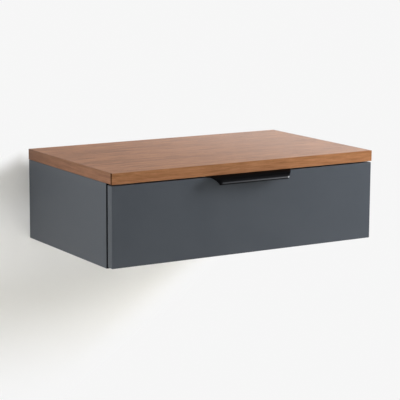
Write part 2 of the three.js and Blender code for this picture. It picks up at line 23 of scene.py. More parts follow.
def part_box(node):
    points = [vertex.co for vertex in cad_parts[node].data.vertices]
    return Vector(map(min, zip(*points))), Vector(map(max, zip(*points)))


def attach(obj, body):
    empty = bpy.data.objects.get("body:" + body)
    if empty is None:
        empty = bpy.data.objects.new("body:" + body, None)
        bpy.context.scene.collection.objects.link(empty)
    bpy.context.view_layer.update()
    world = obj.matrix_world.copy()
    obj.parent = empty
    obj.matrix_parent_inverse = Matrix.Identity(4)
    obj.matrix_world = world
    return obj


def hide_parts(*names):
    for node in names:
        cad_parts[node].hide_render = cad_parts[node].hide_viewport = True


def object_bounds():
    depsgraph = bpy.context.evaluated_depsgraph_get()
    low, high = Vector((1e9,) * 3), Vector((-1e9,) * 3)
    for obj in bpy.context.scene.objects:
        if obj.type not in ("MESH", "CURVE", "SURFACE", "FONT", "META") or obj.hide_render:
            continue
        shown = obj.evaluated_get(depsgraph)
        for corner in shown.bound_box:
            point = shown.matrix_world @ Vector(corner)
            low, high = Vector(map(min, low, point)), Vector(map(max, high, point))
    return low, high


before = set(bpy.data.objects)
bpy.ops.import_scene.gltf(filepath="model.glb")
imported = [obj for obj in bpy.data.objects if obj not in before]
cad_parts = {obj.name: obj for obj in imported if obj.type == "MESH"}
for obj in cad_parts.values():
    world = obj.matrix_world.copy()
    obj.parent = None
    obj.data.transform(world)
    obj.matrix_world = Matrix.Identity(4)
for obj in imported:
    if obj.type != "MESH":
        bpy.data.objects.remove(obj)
cad_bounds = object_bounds()

log = logging.getLogger("nightstand")

MM = 0.001
SEAT = 0.2 * MM  # between pieces that bear on each other
FIT = 0.3 * MM  # round a piece that sits in a hole, slot or groove
OVERRUN = 2 * MM  # how far a cutter runs past the face that it opens
NEAR = 0.01 * MM  # closer than this is the same place
MERGE = 0.002 * MM  # points closer than this become one
SMOOTH_ANGLE = math.radians(35)
ALONG = 0.999  # share of a unit vector along a direction, from which it runs that way
LEANING = 0.3  # and from which it leans that way
FLAT = 0.95  # and up to which it is part of a round
FORWARDS = (0.0, -1.0, 0.0)
UP = (0.0, 0.0, 1.0)
RIGHT = (1.0, 0.0, 0.0)

Colour = tuple[float, float, float]
Test = Callable[[Vector, Vector], bool]  # of an element's middle and its normal or direction


# ---------------------------------------------------------------------------------------------------------
# Workbench
# ---------------------------------------------------------------------------------------------------------


class Pick(Enum):
    """What an edit selects, as Blender's select mode."""

    VERTICES = (True, False, False)
    EDGES = (False, True, False)
    FACES = (False, False, True)


@dataclass(frozen=True)
class Box:
    """An upright box, from its lowest to its highest corner."""

    low: Vector
    high: Vector

    @classmethod
    def of(cls, node: str) -> "Box":
        """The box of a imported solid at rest."""
        return cls(*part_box(node))

    @property
    def size(self) -> Vector:
        """Its width, depth and height."""
        return self.high - self.low

    @property
    def middle(self) -> Vector:
        """Its middle point."""
        return (self.low + self.high) / 2

    def grown(self, by: Sequence[float]) -> "Box":
        """The box grown on all sides.

        Args:
            by: How far it grows at each end along x, y and z.

        Returns:
            The grown box.
        """
        return Box(self.low - Vector(by), self.high + Vector(by))

    def end(self, axis: int, side: int) -> float:
        """Where it ends along an axis: at its low end for a side of -1, or at its high end for 1."""
        return (self.low if side < 0 else self.high)[axis]


def everywhere(middle: Vector, normal: Vector) -> bool:
    """Passes every element."""
    return True


def facing(direction: Sequence[float]) -> Test:
    """A test that passes faces whose normal points one way, and edges that run that way."""
    return lambda middle, normal: normal.dot(Vector(direction)) > ALONG


def at(axis: int, value: float) -> Test:
    """A test that passes elements whose middle lies at one value of x, y or z."""
    return lambda middle, normal: abs(middle[axis] - value) < NEAR


def select_only(piece: Object) -> None:
    """Selects one piece alone and makes it the active one.

    Args:
        piece: The piece.
    """
    bpy.ops.object.select_all(action="DESELECT")
    piece.select_set(True)
    bpy.context.view_layer.objects.active = piece


def settle(piece: Object, place: Matrix = Matrix.Identity(4)) -> Object:
    """Moves a piece to a place and puts that place into its mesh.

    Args:
        piece: The piece to move.
        place: Where its own origin and axes go.

    Returns:
        The same piece, with its object at the origin.
    """
    piece.matrix_basis = place @ piece.matrix_basis
    select_only(piece)
    bpy.ops.object.transform_apply(location=True, rotation=True, scale=True)
    return piece


def place_at(origin: Sequence[float], z_axis: Sequence[float], x_axis: Sequence[float]) -> Matrix:
    """A place in the part, with its own axes.

    Args:
        origin: Where the place's own origin lies.
        z_axis: Direction of its own +Z.
        x_axis: Direction of its own +X.

    Returns:
        The matrix that moves a piece there.
    """
    z, x = Vector(z_axis), Vector(x_axis)
    return Matrix.Translation(origin) @ Matrix((x, z.cross(x), z)).transposed().to_4x4()


def add(name: str, primitive: Callable, **settings: Any) -> Object:
    """Adds a primitive with nothing else selected.

    Args:
        name: The new piece's name.
        primitive: The operator that adds it.
        **settings: The operator's settings.

    Returns:
        The new piece, with its place in its mesh.
    """
    bpy.ops.object.select_all(action="DESELECT")
    primitive(**settings)
    piece = bpy.context.active_object
    piece.name = piece.data.name = name
    return settle(piece)


def block(name: str, box: Box) -> Object:
    """A block that fills a box."""
    return add(name, bpy.ops.mesh.primitive_cube_add, size=1, location=box.middle, scale=box.size)


def rod(name: str, radius: float, low: float, high: float, place: Matrix, segments: int = 48) -> Object:
    """A round rod along a place's own Z.

    Args:
        name: The rod's name.
        radius: Its radius.
        low: Height of its lower end.
        high: Height of its upper end.
        place: The place that it is made in.
        segments: Number of flats round it.

    Returns:
        The rod.
    """
    piece = add(
        name,
        bpy.ops.mesh.primitive_cylinder_add,
        vertices=segments,
        radius=radius,
        depth=high - low,
        location=(0, 0, (low + high) / 2),
    )
    return settle(piece, place)


@contextmanager
def editing(piece: Object, pick: Pick, test: Test = everywhere) -> Iterator[None]:
    """Opens a piece in edit mode with the elements that pass a test selected.

    Args:
        piece: The piece to edit.
        pick: Whether vertices, edges or faces are selected.
        test: Takes an element's middle, and its normal or an edge's direction.

    Yields:
        Nothing, while the piece is in edit mode.
    """
    select_only(piece)
    bpy.context.tool_settings.mesh_select_mode = pick.value
    bpy.ops.object.mode_set(mode="EDIT")
    bpy.ops.mesh.select_all(action="DESELECT")
    mesh = bmesh.from_edit_mesh(piece.data)
    for element, middle, normal in elements(mesh, pick):
        if test(middle, normal):
            element.select_set(True)
    mesh.select_flush_mode()
    bmesh.update_edit_mesh(piece.data)
    yield
    bpy.ops.object.mode_set(mode="OBJECT")


def elements(mesh: bmesh.types.BMesh, pick: Pick) -> Iterator[tuple[Any, Vector, Vector]]:
    """Goes through a mesh's vertices, edges or faces.

    Args:
        mesh: The mesh, in edit mode.
        pick: Which of them are wanted.

    Yields:
        Each one with its middle, and its normal or an edge's direction.
    """
    if pick is Pick.VERTICES:
        yield from ((v, v.co, v.normal) for v in mesh.verts)
    elif pick is Pick.FACES:
        yield from ((f, f.calc_center_median(), f.normal) for f in mesh.faces)
    else:
        for edge in mesh.edges:
            a, b = sorted((v.co for v in edge.verts), key=tuple)
            yield edge, (a + b) / 2, (b - a).normalized()


def modify(piece: Object, kind: str, **settings: Any) -> None:
    """Gives a piece a modifier and applies it.

    Args:
        piece: The piece to change.
        kind: The modifier's type.
        **settings: The modifier's settings.
    """
    modifier = piece.modifiers.new(kind, kind)
    for key, value in settings.items():
        setattr(modifier, key, value)
    select_only(piece)
    bpy.ops.object.modifier_apply(modifier=modifier.name)


def ease(piece: Object, radius: float, test: Test = everywhere, segments: int = 3) -> None:
    """Rounds the edges of a piece that pass a test.

    Args:
        piece: The piece to ease.
        radius: Radius of the round.
        test: Says which edges are rounded.
        segments: Number of flats across the round.
    """
    with editing(piece, Pick.EDGES, test):
        bpy.ops.mesh.bevel(offset=radius, segments=segments, profile=0.5, affect="EDGES")


def ease_rims(piece: Object, radius: float, segments: int = 2) -> None:
    """Rounds every sharp edge of a piece a little.

    Args:
        piece: The piece to ease.
        radius: Radius of the round.
        segments: Number of flats across the round.
    """
    sharp = {"limit_method": "ANGLE", "angle_limit": math.radians(50), "miter_outer": "MITER_ARC"}
    modify(piece, "BEVEL", width=radius, segments=segments, **sharp)


def carve(piece: Object, *cutters: Object) -> None:
    """Cuts the cutters out of a piece and throws them away.

    Args:
        piece: The piece to cut.
        *cutters: The cutters, in their order.
    """
    for cutter in cutters:
        modify(piece, "BOOLEAN", operation="DIFFERENCE", object=cutter, solver="EXACT")
        bpy.data.objects.remove(cutter)


def unite(piece: Object, other: Object) -> None:
    """Makes two pieces one solid."""
    modify(piece, "BOOLEAN", operation="UNION", object=other, solver="EXACT")
    bpy.data.objects.remove(other)


def copy_of(piece: Object, name: str, place: Matrix = Matrix.Identity(4)) -> Object:
    """A copy of a piece with its own mesh.

    Args:
        piece: The piece to copy.
        name: The copy's name.
        place: Where the copy's own origin and axes go.

    Returns:
        The copy.
    """
    select_only(piece)
    bpy.ops.object.duplicate()
    copy = bpy.context.active_object
    copy.name = copy.data.name = name
    return settle(copy, place)


def drawn(name: str, points: Sequence[Sequence[float]]) -> Object:
    """A line: one vertex, extruded from each point to the next.

    Args:
        name: The line's name.
        points: The points that it runs through.

    Returns:
        The line.
    """
    line = [Vector(point) for point in points]
    piece = add(name, bpy.ops.mesh.primitive_plane_add, size=MM)
    with editing(piece, Pick.VERTICES):
        bpy.ops.mesh.merge(type="CENTER")
        bpy.ops.transform.translate(value=line[0])
        for start, end in pairwise(line):
            bpy.ops.mesh.extrude_region_move(TRANSFORM_OT_translate={"value": end - start})
    return piece


def turned(
    name: str,
    profile: Sequence[tuple[float, float]],
    place: Matrix = Matrix.Identity(4),
    segments: int = 32,
) -> Object:
    """A shape turned about a place's own Z.

    Args:
        name: The piece's name.
        profile: Its (radius, height) points, the first and the last on the axis.
        place: The place that it is made in.
        segments: Number of flats round it.

    Returns:
        The closed shape.
    """
    piece = drawn(name, [(radius, 0, height) for radius, height in profile])
    with editing(piece, Pick.EDGES):
        bpy.ops.mesh.spin(steps=segments, angle=math.tau, center=(0, 0, 0), axis=UP)
    close(piece)
    return settle(piece, place)


def close(piece: Object) -> None:
    """Merges a piece's doubles and turns its faces outwards.

    Args:
        piece: The piece to close.
    """
    with editing(piece, Pick.VERTICES):
        bpy.ops.mesh.remove_doubles(threshold=MERGE)
        bpy.ops.mesh.normals_make_consistent(inside=False)


def folded(
    name: str,
    path: Sequence[Sequence[float]],
    along: Sequence[float],
    sheet: float,
    bend: float,
    segments: int = 4,
) -> Object:
    """A folded sheet: a line drawn out along a vector, with its corners bent and given its thickness.

    Args:
        name: The piece's name.
        path: Points of the line through the middle of the sheet.
        along: How far the line is drawn out.
        sheet: The sheet's thickness.
        bend: Distance from each corner at which its bend starts.
        segments: Number of flats in each bend.

    Returns:
        The closed sheet.
    """
    piece = drawn(name, path)
    with editing(piece, Pick.EDGES):
        bpy.ops.mesh.extrude_region_move(TRANSFORM_OT_translate={"value": along})
    corners = {"limit_method": "ANGLE", "angle_limit": math.radians(30), "use_clamp_overlap": False}
    modify(piece, "BEVEL", width=bend, segments=segments, **corners)
    modify(piece, "SOLIDIFY", thickness=sheet, offset=0, use_even_offset=True)
    close(piece)
    return piece


def smooth(piece: Object, angle: float = SMOOTH_ANGLE) -> None:
    """Shades the rounds of a piece smooth and keeps its flats flat.

    Args:
        piece: The piece to shade.
        angle: The sharpest fold that is still shaded smooth.
    """
    select_only(piece)
    bpy.ops.object.shade_smooth_by_angle(angle=angle)
    modify(piece, "WEIGHTED_NORMAL", keep_sharp=True)


def board(
    name: str,
    node: str,
    arris: float,
    cutters: Sequence[Object] = (),
    test: Test = everywhere,
    segments: int = 3,
) -> Object:
    """A flat board in the place of a packed one, eased, cut and shaded.

    Args:
        name: The board's name.
        node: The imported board.
        arris: Radius of its eased edges.
        cutters: What is cut out of it.
        test: Says which edges are eased.
        segments: Number of flats across an eased edge.

    Returns:
        The board.
    """
    piece = block(name, Box.of(node))
    ease(piece, arris, test, segments)
    carve(piece, *cutters)
    smooth(piece)
    return piece


def recoat(piece: Object, test: Test) -> None:
    """Gives the faces that pass a test the second of a piece's finishes, and all others the first.

    Args:
        piece: The piece.
        test: Takes a face's middle and its normal.
    """
    for face in piece.data.polygons:
        face.material_index = int(test(face.center, face.normal))


def finish(
    piece: Object,
    body: str,
    finishes: "Finish | Sequence[Finish]",
    stands_for: Sequence[str],
) -> None:
    """Dresses a finished piece and ties it to the frame.

    Args:
        piece: The piece.
        body: The body that it moves with.
        finishes: Its finish, or one for each of its material slots.
        stands_for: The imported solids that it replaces.
    """
    for coat in finishes if isinstance(finishes, Sequence) else [finishes]:
        piece.data.materials.append(coat.material())
    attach(piece, body)
    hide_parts(*stands_for)
    log.info("%s: %d faces, rides on %s", piece.name, len(piece.data.polygons), body)


# ---------------------------------------------------------------------------------------------------------
# Finishes
# ---------------------------------------------------------------------------------------------------------


class Value:
    """A socket of a shader graph, on which Python's arithmetic adds Math nodes."""

    def __init__(self, paint: "Paint", socket: bpy.types.NodeSocket) -> None:
        """Wraps a node's output socket."""
        self.paint = paint
        self.socket = socket

    def _math(self, operation: str, *values: "Value | float") -> "Value":
        """Adds a Math node."""
        return self.paint.node("Math", {"operation": operation}, dict(enumerate(values)))

    def __add__(self, other: "Value | float") -> "Value":
        """self + other."""
        return self._math("ADD", self, other)

    __radd__ = __add__

    def __sub__(self, other: "Value | float") -> "Value":
        """self - other."""
        return self._math("SUBTRACT", self, other)

    def __rsub__(self, other: "Value | float") -> "Value":
        """other - self."""
        return self._math("SUBTRACT", other, self)

    def __mul__(self, other: "Value | float") -> "Value":
        """self * other."""
        return self._math("MULTIPLY", self, other)

    __rmul__ = __mul__

    def __lt__(self, other: "Value | float") -> "Value":
        """1 where self is under other, and otherwise 0."""
        return self._math("LESS_THAN", self, other)

    def __abs__(self) -> "Value":
        """The size of self without its sign."""
        return self._math("ABSOLUTE", self)

    def sine(self) -> "Value":
        """The sine of self."""
        return self._math("SINE", self)

    def larger(self, other: "Value | float") -> "Value":
        """The larger of self and other."""
        return self._math("MAXIMUM", self, other)

    def between(self, low: float, high: float) -> "Value":
        """A smooth step, from 0 where self is low to 1 where it is high."""
        settings = {"interpolation_type": "SMOOTHSTEP"}
        return self.paint.node("MapRange", settings, {0: self, 1: low, 2: high})


class Paint:
    """A node graph under construction."""

    def __init__(self, tree: NodeTree) -> None:
        """Starts on a material's or the world's node tree."""
        self.tree = tree

    def node(
        self,
        kind: str,
        settings: dict[str, Any] | None = None,
        sockets: dict[str | int, Any] | None = None,
        output: int | str = 0,
    ) -> Value:
        """Adds a node.

        Args:
            kind: The node's type, without its first word.
            settings: The node's own settings, and for a ramp its "stops" as (place, colour) pairs.
            sockets: Values or links for its sockets.
            output: Number or name of the output that is returned.

        Returns:
            The chosen output.
        """
        made = self.tree.nodes.new("ShaderNode" + kind)
        for key, value in (settings or {}).items():
            if key == "stops":
                self._set_stops(made.color_ramp, value)
            else:
                setattr(made, key, value)
        for key, value in (sockets or {}).items():
            self.link(value, made.inputs[key])
        return Value(self, made.outputs[output])

    def link(self, value: Any, socket: bpy.types.NodeSocket) -> None:
        """Gives a socket what it works with.

        Args:
            value: A link, a number, a vector or a colour.
            socket: The socket that gets it.
        """
        if isinstance(value, Value):
            self.tree.links.new(value.socket, socket)
        elif socket.type == "RGBA":
            socket.default_value = (*value, 1)
        else:
            socket.default_value = value

    @staticmethod
    def _set_stops(ramp: bpy.types.ColorRamp, stops: Sequence[tuple[float, Colour]]) -> None:
        """Sets a ramp's stops.

        Args:
            ramp: The ramp.
            stops: Each stop's place and colour.
        """
        while len(ramp.elements) < len(stops):
            ramp.elements.new(1)
        for element, (place, colour) in zip(ramp.elements, stops):
            element.position = place
            element.color = (*colour, 1)

    def point(self, turn: Sequence[float] = (0, 0, 0), shift: Sequence[float] = (0, 0, 0)) -> Value:
        """The point on the piece, turned and shifted, in metres."""
        coordinates = self.node("TexCoord", output="Object")
        return self.node("Mapping", None, {"Vector": coordinates, "Location": shift, "Rotation": turn})

    def stretched(self, point: Value, scale: Sequence[float]) -> Value:
        """A point scaled along its axes."""
        return self.node("VectorMath", {"operation": "MULTIPLY"}, {0: point, 1: scale})

    def parts(self, point: Value) -> tuple[Value, Value, Value]:
        """A point's x, y and z."""
        first = self.node("SeparateXYZ", None, {0: point})
        return first, *(Value(self, first.socket.node.outputs[i]) for i in (1, 2))

    def noise(
        self,
        point: Value,
        scale: Sequence[float] | float,
        detail: float = 2,
        roughness: float = 0.5,
    ) -> Value:
        """Noise of about 0.5 on average.

        Args:
            point: Where it is looked up.
            scale: Bumps to the metre, along x, y and z or along all.
            detail: How many finer layers it has.
            roughness: How strong the finer layers are.

        Returns:
            The noise.
        """
        scale = [scale] * 3 if isinstance(scale, (int, float)) else scale
        layers = {"Scale": 1.0, "Detail": detail, "Roughness": roughness}
        return self.node("TexNoise", None, {"Vector": self.stretched(point, scale), **layers})

    def colours(self, value: Value, stops: Sequence[tuple[float, Colour]]) -> Value:
        """A colour read from a ramp."""
        return self.node("ValToRGB", {"stops": stops}, {0: value})

    def mix(self, share: Value | float, first: Any, second: Any, blend: str = "MIX") -> Value:
        """Two colours mixed.

        Args:
            share: How much of the second colour there is.
            first: The colour below.
            second: The colour over it.
            blend: How they mix.

        Returns:
            The mixed colour.
        """
        settings = {"data_type": "RGBA", "blend_type": blend}
        return self.node("Mix", settings, {0: share, 6: first, 7: second}, output=2)

    def bump(self, height: Value, distance: float, strength: float = 1.0) -> Value:
        """A normal bent by a height from 0 to 1 that stands for a distance in metres."""
        return self.node("Bump", None, {"Strength": strength, "Distance": distance, "Height": height})


@dataclass(frozen=True)
class Finish:
    """A finish: what all of them have in common."""

    name: str

    @cache
    def material(self) -> Material:
        """Makes the finish's material the first time that it is asked for.

        Returns:
            The material.
        """
        material = bpy.data.materials.new(self.name)
        material.use_nodes = True
        shader = material.node_tree.nodes["Principled BSDF"]
        paint = Paint(material.node_tree)
        for socket, value in self.surface(paint).items():
            paint.link(value, shader.inputs[socket])
        return material

    def surface(self, paint: Paint) -> dict[str, Any]:
        """What the finish gives the shader's sockets."""
        raise NotImplementedError


class Grain(Enum):
    """Which way a board's grain runs, as the turn that brings it to x."""

    ACROSS = (0.0, 0.0, 0.0)
    DEEP = (0.0, 0.0, math.radians(-90))


@dataclass(frozen=True)
class Veneer(Finish):
    """Walnut veneer under a satin varnish."""

    grain: Grain = Grain.ACROSS
    cut: tuple[float, float, float] = (0.0, 0.0, 0.0)  # where it came from in the log
    dark: Colour = (0.215, 0.086, 0.038)
    middle: Colour = (0.305, 0.131, 0.062)
    light: Colour = (0.385, 0.178, 0.090)
    pore: Colour = (0.095, 0.038, 0.017)
    gloss: tuple[float, float] = (0.42, 0.42)  # roughness at the left and the right end
    sheen: float = 0.3  # how much the varnish reflects
    fade: float = 0.0  # painted shade: how much darker the wood is painted towards the wall
    half_width: float = 250 * MM
    faded_depth: float = 160 * MM  # how far from the wall the painted shade reaches
    sway: float = 16 * MM  # how far its lines wander

    def surface(self, paint: Paint) -> dict[str, Any]:
        """Broad tone, growth lines that wander, streaks, fibres, short dark pores and, if asked for,
        painted shade towards the wall.

        Args:
            paint: The graph that it is painted in.

        Returns:
            What the shader's sockets get.
        """
        board = paint.point(self.grain.value, self.cut)
        wander = paint.noise(board, (4, 22, 22), 2) - 0.5
        drift = paint.node("CombineXYZ", None, {1: wander * self.sway, 2: wander * self.sway})
        wood = paint.node("VectorMath", {"operation": "ADD"}, {0: board, 1: drift})

        broad = paint.noise(wood, (2.5, 26, 26), 3)
        lines = paint.noise(wood, (11, 140, 140), 3, 0.6)
        flecks = paint.noise(wood, (30, 290, 290), 2, 0.6)
        streaks = paint.noise(wood, (18, 640, 640), 3, 0.6)
        fibres = paint.noise(board, (90, 3200, 3200), 2)
        pores = paint.noise(board, (130, 2300, 2300), 1).between(0.62, 0.74)
        tone = broad * 0.12 + lines * 0.26 + flecks * 0.24 + streaks * 0.30 + fibres * 0.08

        stops = [(0.43, self.dark), (0.5, self.middle), (0.57, self.light)]
        colour = paint.mix(pores * 0.55, paint.colours(tone, stops), self.pore)
        x, y, _ = paint.parts(paint.point())
        left, right = self.gloss
        varnish = x.between(-self.half_width, self.half_width) * (right - left) + left
        if self.fade:
            # painted shade: darker towards the wall
            colour = paint.mix(y.between(-self.faded_depth, 0.0) * self.fade, colour, self.pore)
        return {
            "Base Color": colour,
            "Roughness": varnish + (streaks - 0.5) * 0.12 + pores * 0.12,
            "Specular IOR Level": self.sheen,
            "Normal": paint.bump(streaks * 0.4 + fibres * 0.4 - pores, 0.02 * MM, 0.6),
        }


@dataclass(frozen=True)
class GlueLine(Finish):
    """The dark joint where the lipping meets the edging."""

    colour: Colour = (0.004, 0.002, 0.001)
    thin: Colour = (0.060, 0.026, 0.012)  # lower down, where the wood shows through
    top: float = 84 * MM
    drop: float = 14 * MM
    ragged: float = 4 * MM  # how unevenly it thins

    def surface(self, paint: Paint) -> dict[str, Any]:
        """Nearly black above, and thinner and browner downwards.

        Args:
            paint: The graph that it is painted in.

        Returns:
            What the shader's sockets get.
        """
        point = paint.point()
        blots = paint.noise(point, 900, 2)
        _, _, z = paint.parts(point)
        depth = (z + (blots - 0.5) * self.ragged).between(self.top - self.drop, self.top)
        return {
            "Base Color": paint.mix(depth, self.thin, self.colour),
            "Roughness": 0.75 + blots * 0.2,
            "Specular IOR Level": 0.0,
        }


@dataclass(frozen=True)
class Lacquer(Finish):
    """Grey satin lacquer, sprayed: a fine orange peel and hardly seen clouds."""

    colour: Colour = (0.0490, 0.0565, 0.068)
    cloud: Colour = (0.0530, 0.0605, 0.072)
    sheen: float = 0.30

    def surface(self, paint: Paint) -> dict[str, Any]:
        """Clouded colour and a fine peel.

        Args:
            paint: The graph that it is painted in.

        Returns:
            What the shader's sockets get.
        """
        point = paint.point()
        clouds = paint.noise(point, 14, 3).between(0.3, 0.7)
        peel = paint.noise(point, 700, 2)
        grit = paint.noise(point, 4200, 1)
        return {
            "Base Color": paint.mix(clouds, self.colour, self.cloud),
            "Roughness": 0.34 + clouds * 0.05 + grit * 0.08,
            "Specular IOR Level": self.sheen,
            "Normal": paint.bump(peel * 0.75 + grit * 0.25, 0.03 * MM, 0.5),
        }


@dataclass(frozen=True)
class PowderCoat(Finish):
    """Black powder coat with a fine grain, a painted highlight along the lip's edge and a painted glint at
    its right corner.
    """

    colour: Colour = (0.0008, 0.0008, 0.0010)
    worn: Colour = (0.0028, 0.0028, 0.0033)
    # painted highlight along the lip's rounded edge, where the light catches it
    painted_highlight: Colour = (0.085, 0.087, 0.094)
    painted_glint: Colour = (0.380, 0.385, 0.400)  # painted glint where the lip's right corner catches the light
    edge: float = 55.3 * MM  # height of the middle of the painted highlight line along the lip's rounded edge
    half: float = 1.6 * MM  # and half its height
    fade: float = 6 * MM  # how far above it a fainter painted highlight reaches
    faint: float = 0.11  # and how much
    front: float = -303 * MM  # it is in front of this plane
    reach: tuple[float, float] = (-58 * MM, 67 * MM)  # where the line starts and where the corner begins
    soft: float = 3 * MM  # over which the line begins

    def surface(self, paint: Paint) -> dict[str, Any]:
        """Grained black, with a painted highlight along the lip's edge, strongest at the right, and a
        painted glint at its right corner.

        Args:
            paint: The graph that it is painted in.

        Returns:
            What the shader's sockets get.
        """
        point = paint.point()
        grain = paint.noise(point, 2600, 2)
        lumps = paint.noise(point, 500, 2)
        x, y, z = paint.parts(point)
        away, in_front = abs(z - self.edge), y < self.front
        line = away.between(self.half, self.half / 3) * in_front
        above = away.between(self.fade, self.half) * in_front * self.faint
        start, corner = self.reach
        strength = x.between(start, corner) * 0.25 + 0.45 + lumps * 0.2
        # painted highlight: a bright line along the lip's edge and a fainter band above it
        highlight_share = line.larger(above) * strength * x.between(start - self.soft, start + self.soft)
        coat = paint.mix(grain.between(0.45, 0.8), self.colour, self.worn)
        highlighted_coat = paint.mix(highlight_share, coat, self.painted_highlight)
        return {
            # painted glint at the lip's right corner
            "Base Color": paint.mix(line * x.between(corner, corner + self.soft / 2), highlighted_coat, self.painted_glint),
            "Roughness": 0.30 + grain * 0.16,
            "Specular IOR Level": 0.02,
            "Normal": paint.bump(grain * 0.6 + lumps * 0.4, 0.04 * MM, 0.6),
        }


@dataclass(frozen=True)
class Metal(Finish):
    """Bare or plated metal with the marks of its rolling, drawing or turning."""

    colour: Colour = (0.60, 0.61, 0.63)
    shade: Colour = (0.42, 0.43, 0.45)
    lines: tuple[float, float, float] = (900.0, 12.0, 900.0)  # marks to the metre along x, y and z
    roughness: float = 0.28

    def surface(self, paint: Paint) -> dict[str, Any]:
        """Blotches of tint and fine marks.

        Args:
            paint: The graph that it is painted in.

        Returns:
            What the shader's sockets get.
        """
        point = paint.point()
        marks = paint.noise(point, self.lines, 3, 0.6)
        blotches = paint.noise(point, 60, 3)
        return {
            "Base Color": paint.mix((marks + blotches).between(0.8, 1.25), self.shade, self.colour),
            "Metallic": 1.0,
            "Roughness": self.roughness + marks * 0.16 + blotches * 0.08,
            "Normal": paint.bump(marks, 0.02 * MM, 0.5),
        }


@dataclass(frozen=True)
class Fibreboard(Finish):
    """Hardboard: pressed brown fibres with a few pale and dark ones."""

    dark: Colour = (0.250, 0.155, 0.082)
    light: Colour = (0.440, 0.305, 0.180)
    fleck: Colour = (0.120, 0.070, 0.035)

    def surface(self, paint: Paint) -> dict[str, Any]:
        """Matted fibres.

        Args:
            paint: The graph that it is painted in.

        Returns:
            What the shader's sockets get.
        """
        point = paint.point()
        mat = paint.noise(point, 160, 5, 0.7)
        fibres = paint.noise(point, (2400, 500, 1300), 3, 0.6)
        flecks = paint.noise(point, (1500, 420, 900), 2).between(0.66, 0.72)
        colour = paint.colours(mat * 0.5 + fibres * 0.5, [(0.35, self.dark), (0.65, self.light)])
        return {
            "Base Color": paint.mix(flecks * 0.7, colour, self.fleck),
            "Roughness": 0.62 + fibres * 0.2,
            "Normal": paint.bump(fibres * 0.6 + mat * 0.4, 0.08 * MM, 0.6),
        }


@dataclass(frozen=True)
class LinenFoil(Finish):
    """Grey foil with an embossed linen weave, as drawer boxes have."""

    colour: Colour = (0.125, 0.131, 0.140)
    thread: Colour = (0.165, 0.171, 0.181)
    pitch: float = 0.7 * MM

    def surface(self, paint: Paint) -> dict[str, Any]:
        """Crossed threads of uneven strength.

        Args:
            paint: The graph that it is painted in.

        Returns:
            What the shader's sockets get.
        """
        point = paint.point()
        x, y, z = paint.parts(point)
        turns = math.tau / self.pitch
        along = ((y + x) * turns).sine() * 0.5 + 0.5
        upright = (z * turns).sine() * 0.5 + 0.5
        slubs_along = paint.noise(point, (40, 40, 900), 2)
        slubs_up = paint.noise(point, (900, 900, 40), 2)
        weave = (upright * slubs_along).larger(along * slubs_up)
        return {
            "Base Color": paint.mix(weave, self.colour, self.thread),
            "Roughness": 0.42 + weave * 0.16,
            "Normal": paint.bump(weave, 0.05 * MM, 0.7),
        }


@dataclass(frozen=True)
class Chipboard(Finish):
    """The raw core of a board, where no edging covers it."""

    dark: Colour = (0.270, 0.170, 0.085)
    light: Colour = (0.520, 0.370, 0.210)
    chips: tuple[float, float, float] = (420.0, 420.0, 1100.0)  # chips to the metre along x, y and z

    def surface(self, paint: Paint) -> dict[str, Any]:
        """Pressed chips, each of its own tone.

        Args:
            paint: The graph that it is painted in.

        Returns:
            What the shader's sockets get.
        """
        point = paint.point()
        spot = {"Vector": paint.stretched(point, self.chips), "Scale": 1.0}
        tone, _, _ = paint.parts(paint.node("TexVoronoi", None, spot, output="Color"))
        gaps = paint.node("TexVoronoi", {"feature": "DISTANCE_TO_EDGE"}, spot)
        colour = paint.colours(tone, [(0.0, self.dark), (1.0, self.light)])
        return {
            "Base Color": paint.mix(gaps.between(0.12, 0.0), colour, self.dark),
            "Roughness": 0.78 + tone * 0.15,
            "Normal": paint.bump(gaps.between(0.0, 0.15) + tone * 0.4, 0.15 * MM),
        }


@dataclass(frozen=True)
class Beech(Finish):
    """Beech: pale pink wood with short darker flecks along the dowel."""

    light: Colour = (0.640, 0.430, 0.260)
    dark: Colour = (0.500, 0.300, 0.165)
    fleck: Colour = (0.340, 0.190, 0.100)

    def surface(self, paint: Paint) -> dict[str, Any]:
        """Fine grain and flecks.

        Args:
            paint: The graph that it is painted in.

        Returns:
            What the shader's sockets get.
        """
        point = paint.point()
        grain = paint.noise(point, (40, 900, 900), 3, 0.6)
        flecks = paint.noise(point, (300, 2200, 2200), 1).between(0.60, 0.68)
        colour = paint.colours(grain, [(0.35, self.dark), (0.65, self.light)])
        return {
            "Base Color": paint.mix(flecks * 0.6, colour, self.fleck),
            "Roughness": 0.60 + grain * 0.2,
            "Normal": paint.bump(grain, 0.05 * MM, 0.6),
        }


@dataclass(frozen=True)
class SoftRubber(Finish):
    """Milky rubber with a dull moulded skin."""

    colour: Colour = (0.70, 0.69, 0.66)
    shade: Colour = (0.58, 0.57, 0.54)

    def surface(self, paint: Paint) -> dict[str, Any]:
        """Cloudy colour and a fine skin.

        Args:
            paint: The graph that it is painted in.

        Returns:
            What the shader's sockets get.
        """
        point = paint.point()
        clouds = paint.noise(point, 500, 2).between(0.3, 0.7)
        skin = paint.noise(point, 6000, 1)
        return {
            "Base Color": paint.mix(clouds, self.shade, self.colour),
            "Roughness": 0.42 + skin * 0.12,
            "Normal": paint.bump(skin, 0.02 * MM, 0.5),
        }


LACQUER = Lacquer("grey_lacquer")
# painted shade: near-black lacquer on the edges that face into the gap beside the drawer front
PAINTED_GAP_SHADE = Lacquer("painted_gap_shade", (0.0028, 0.0031, 0.0034), (0.0040, 0.0044, 0.0048), 0.03)
CORE = Chipboard("chipboard_core")
HARDBOARD = Fibreboard("hardboard")
LINEN = LinenFoil("linen_foil")
BLACK = PowderCoat("black_powder_coat")
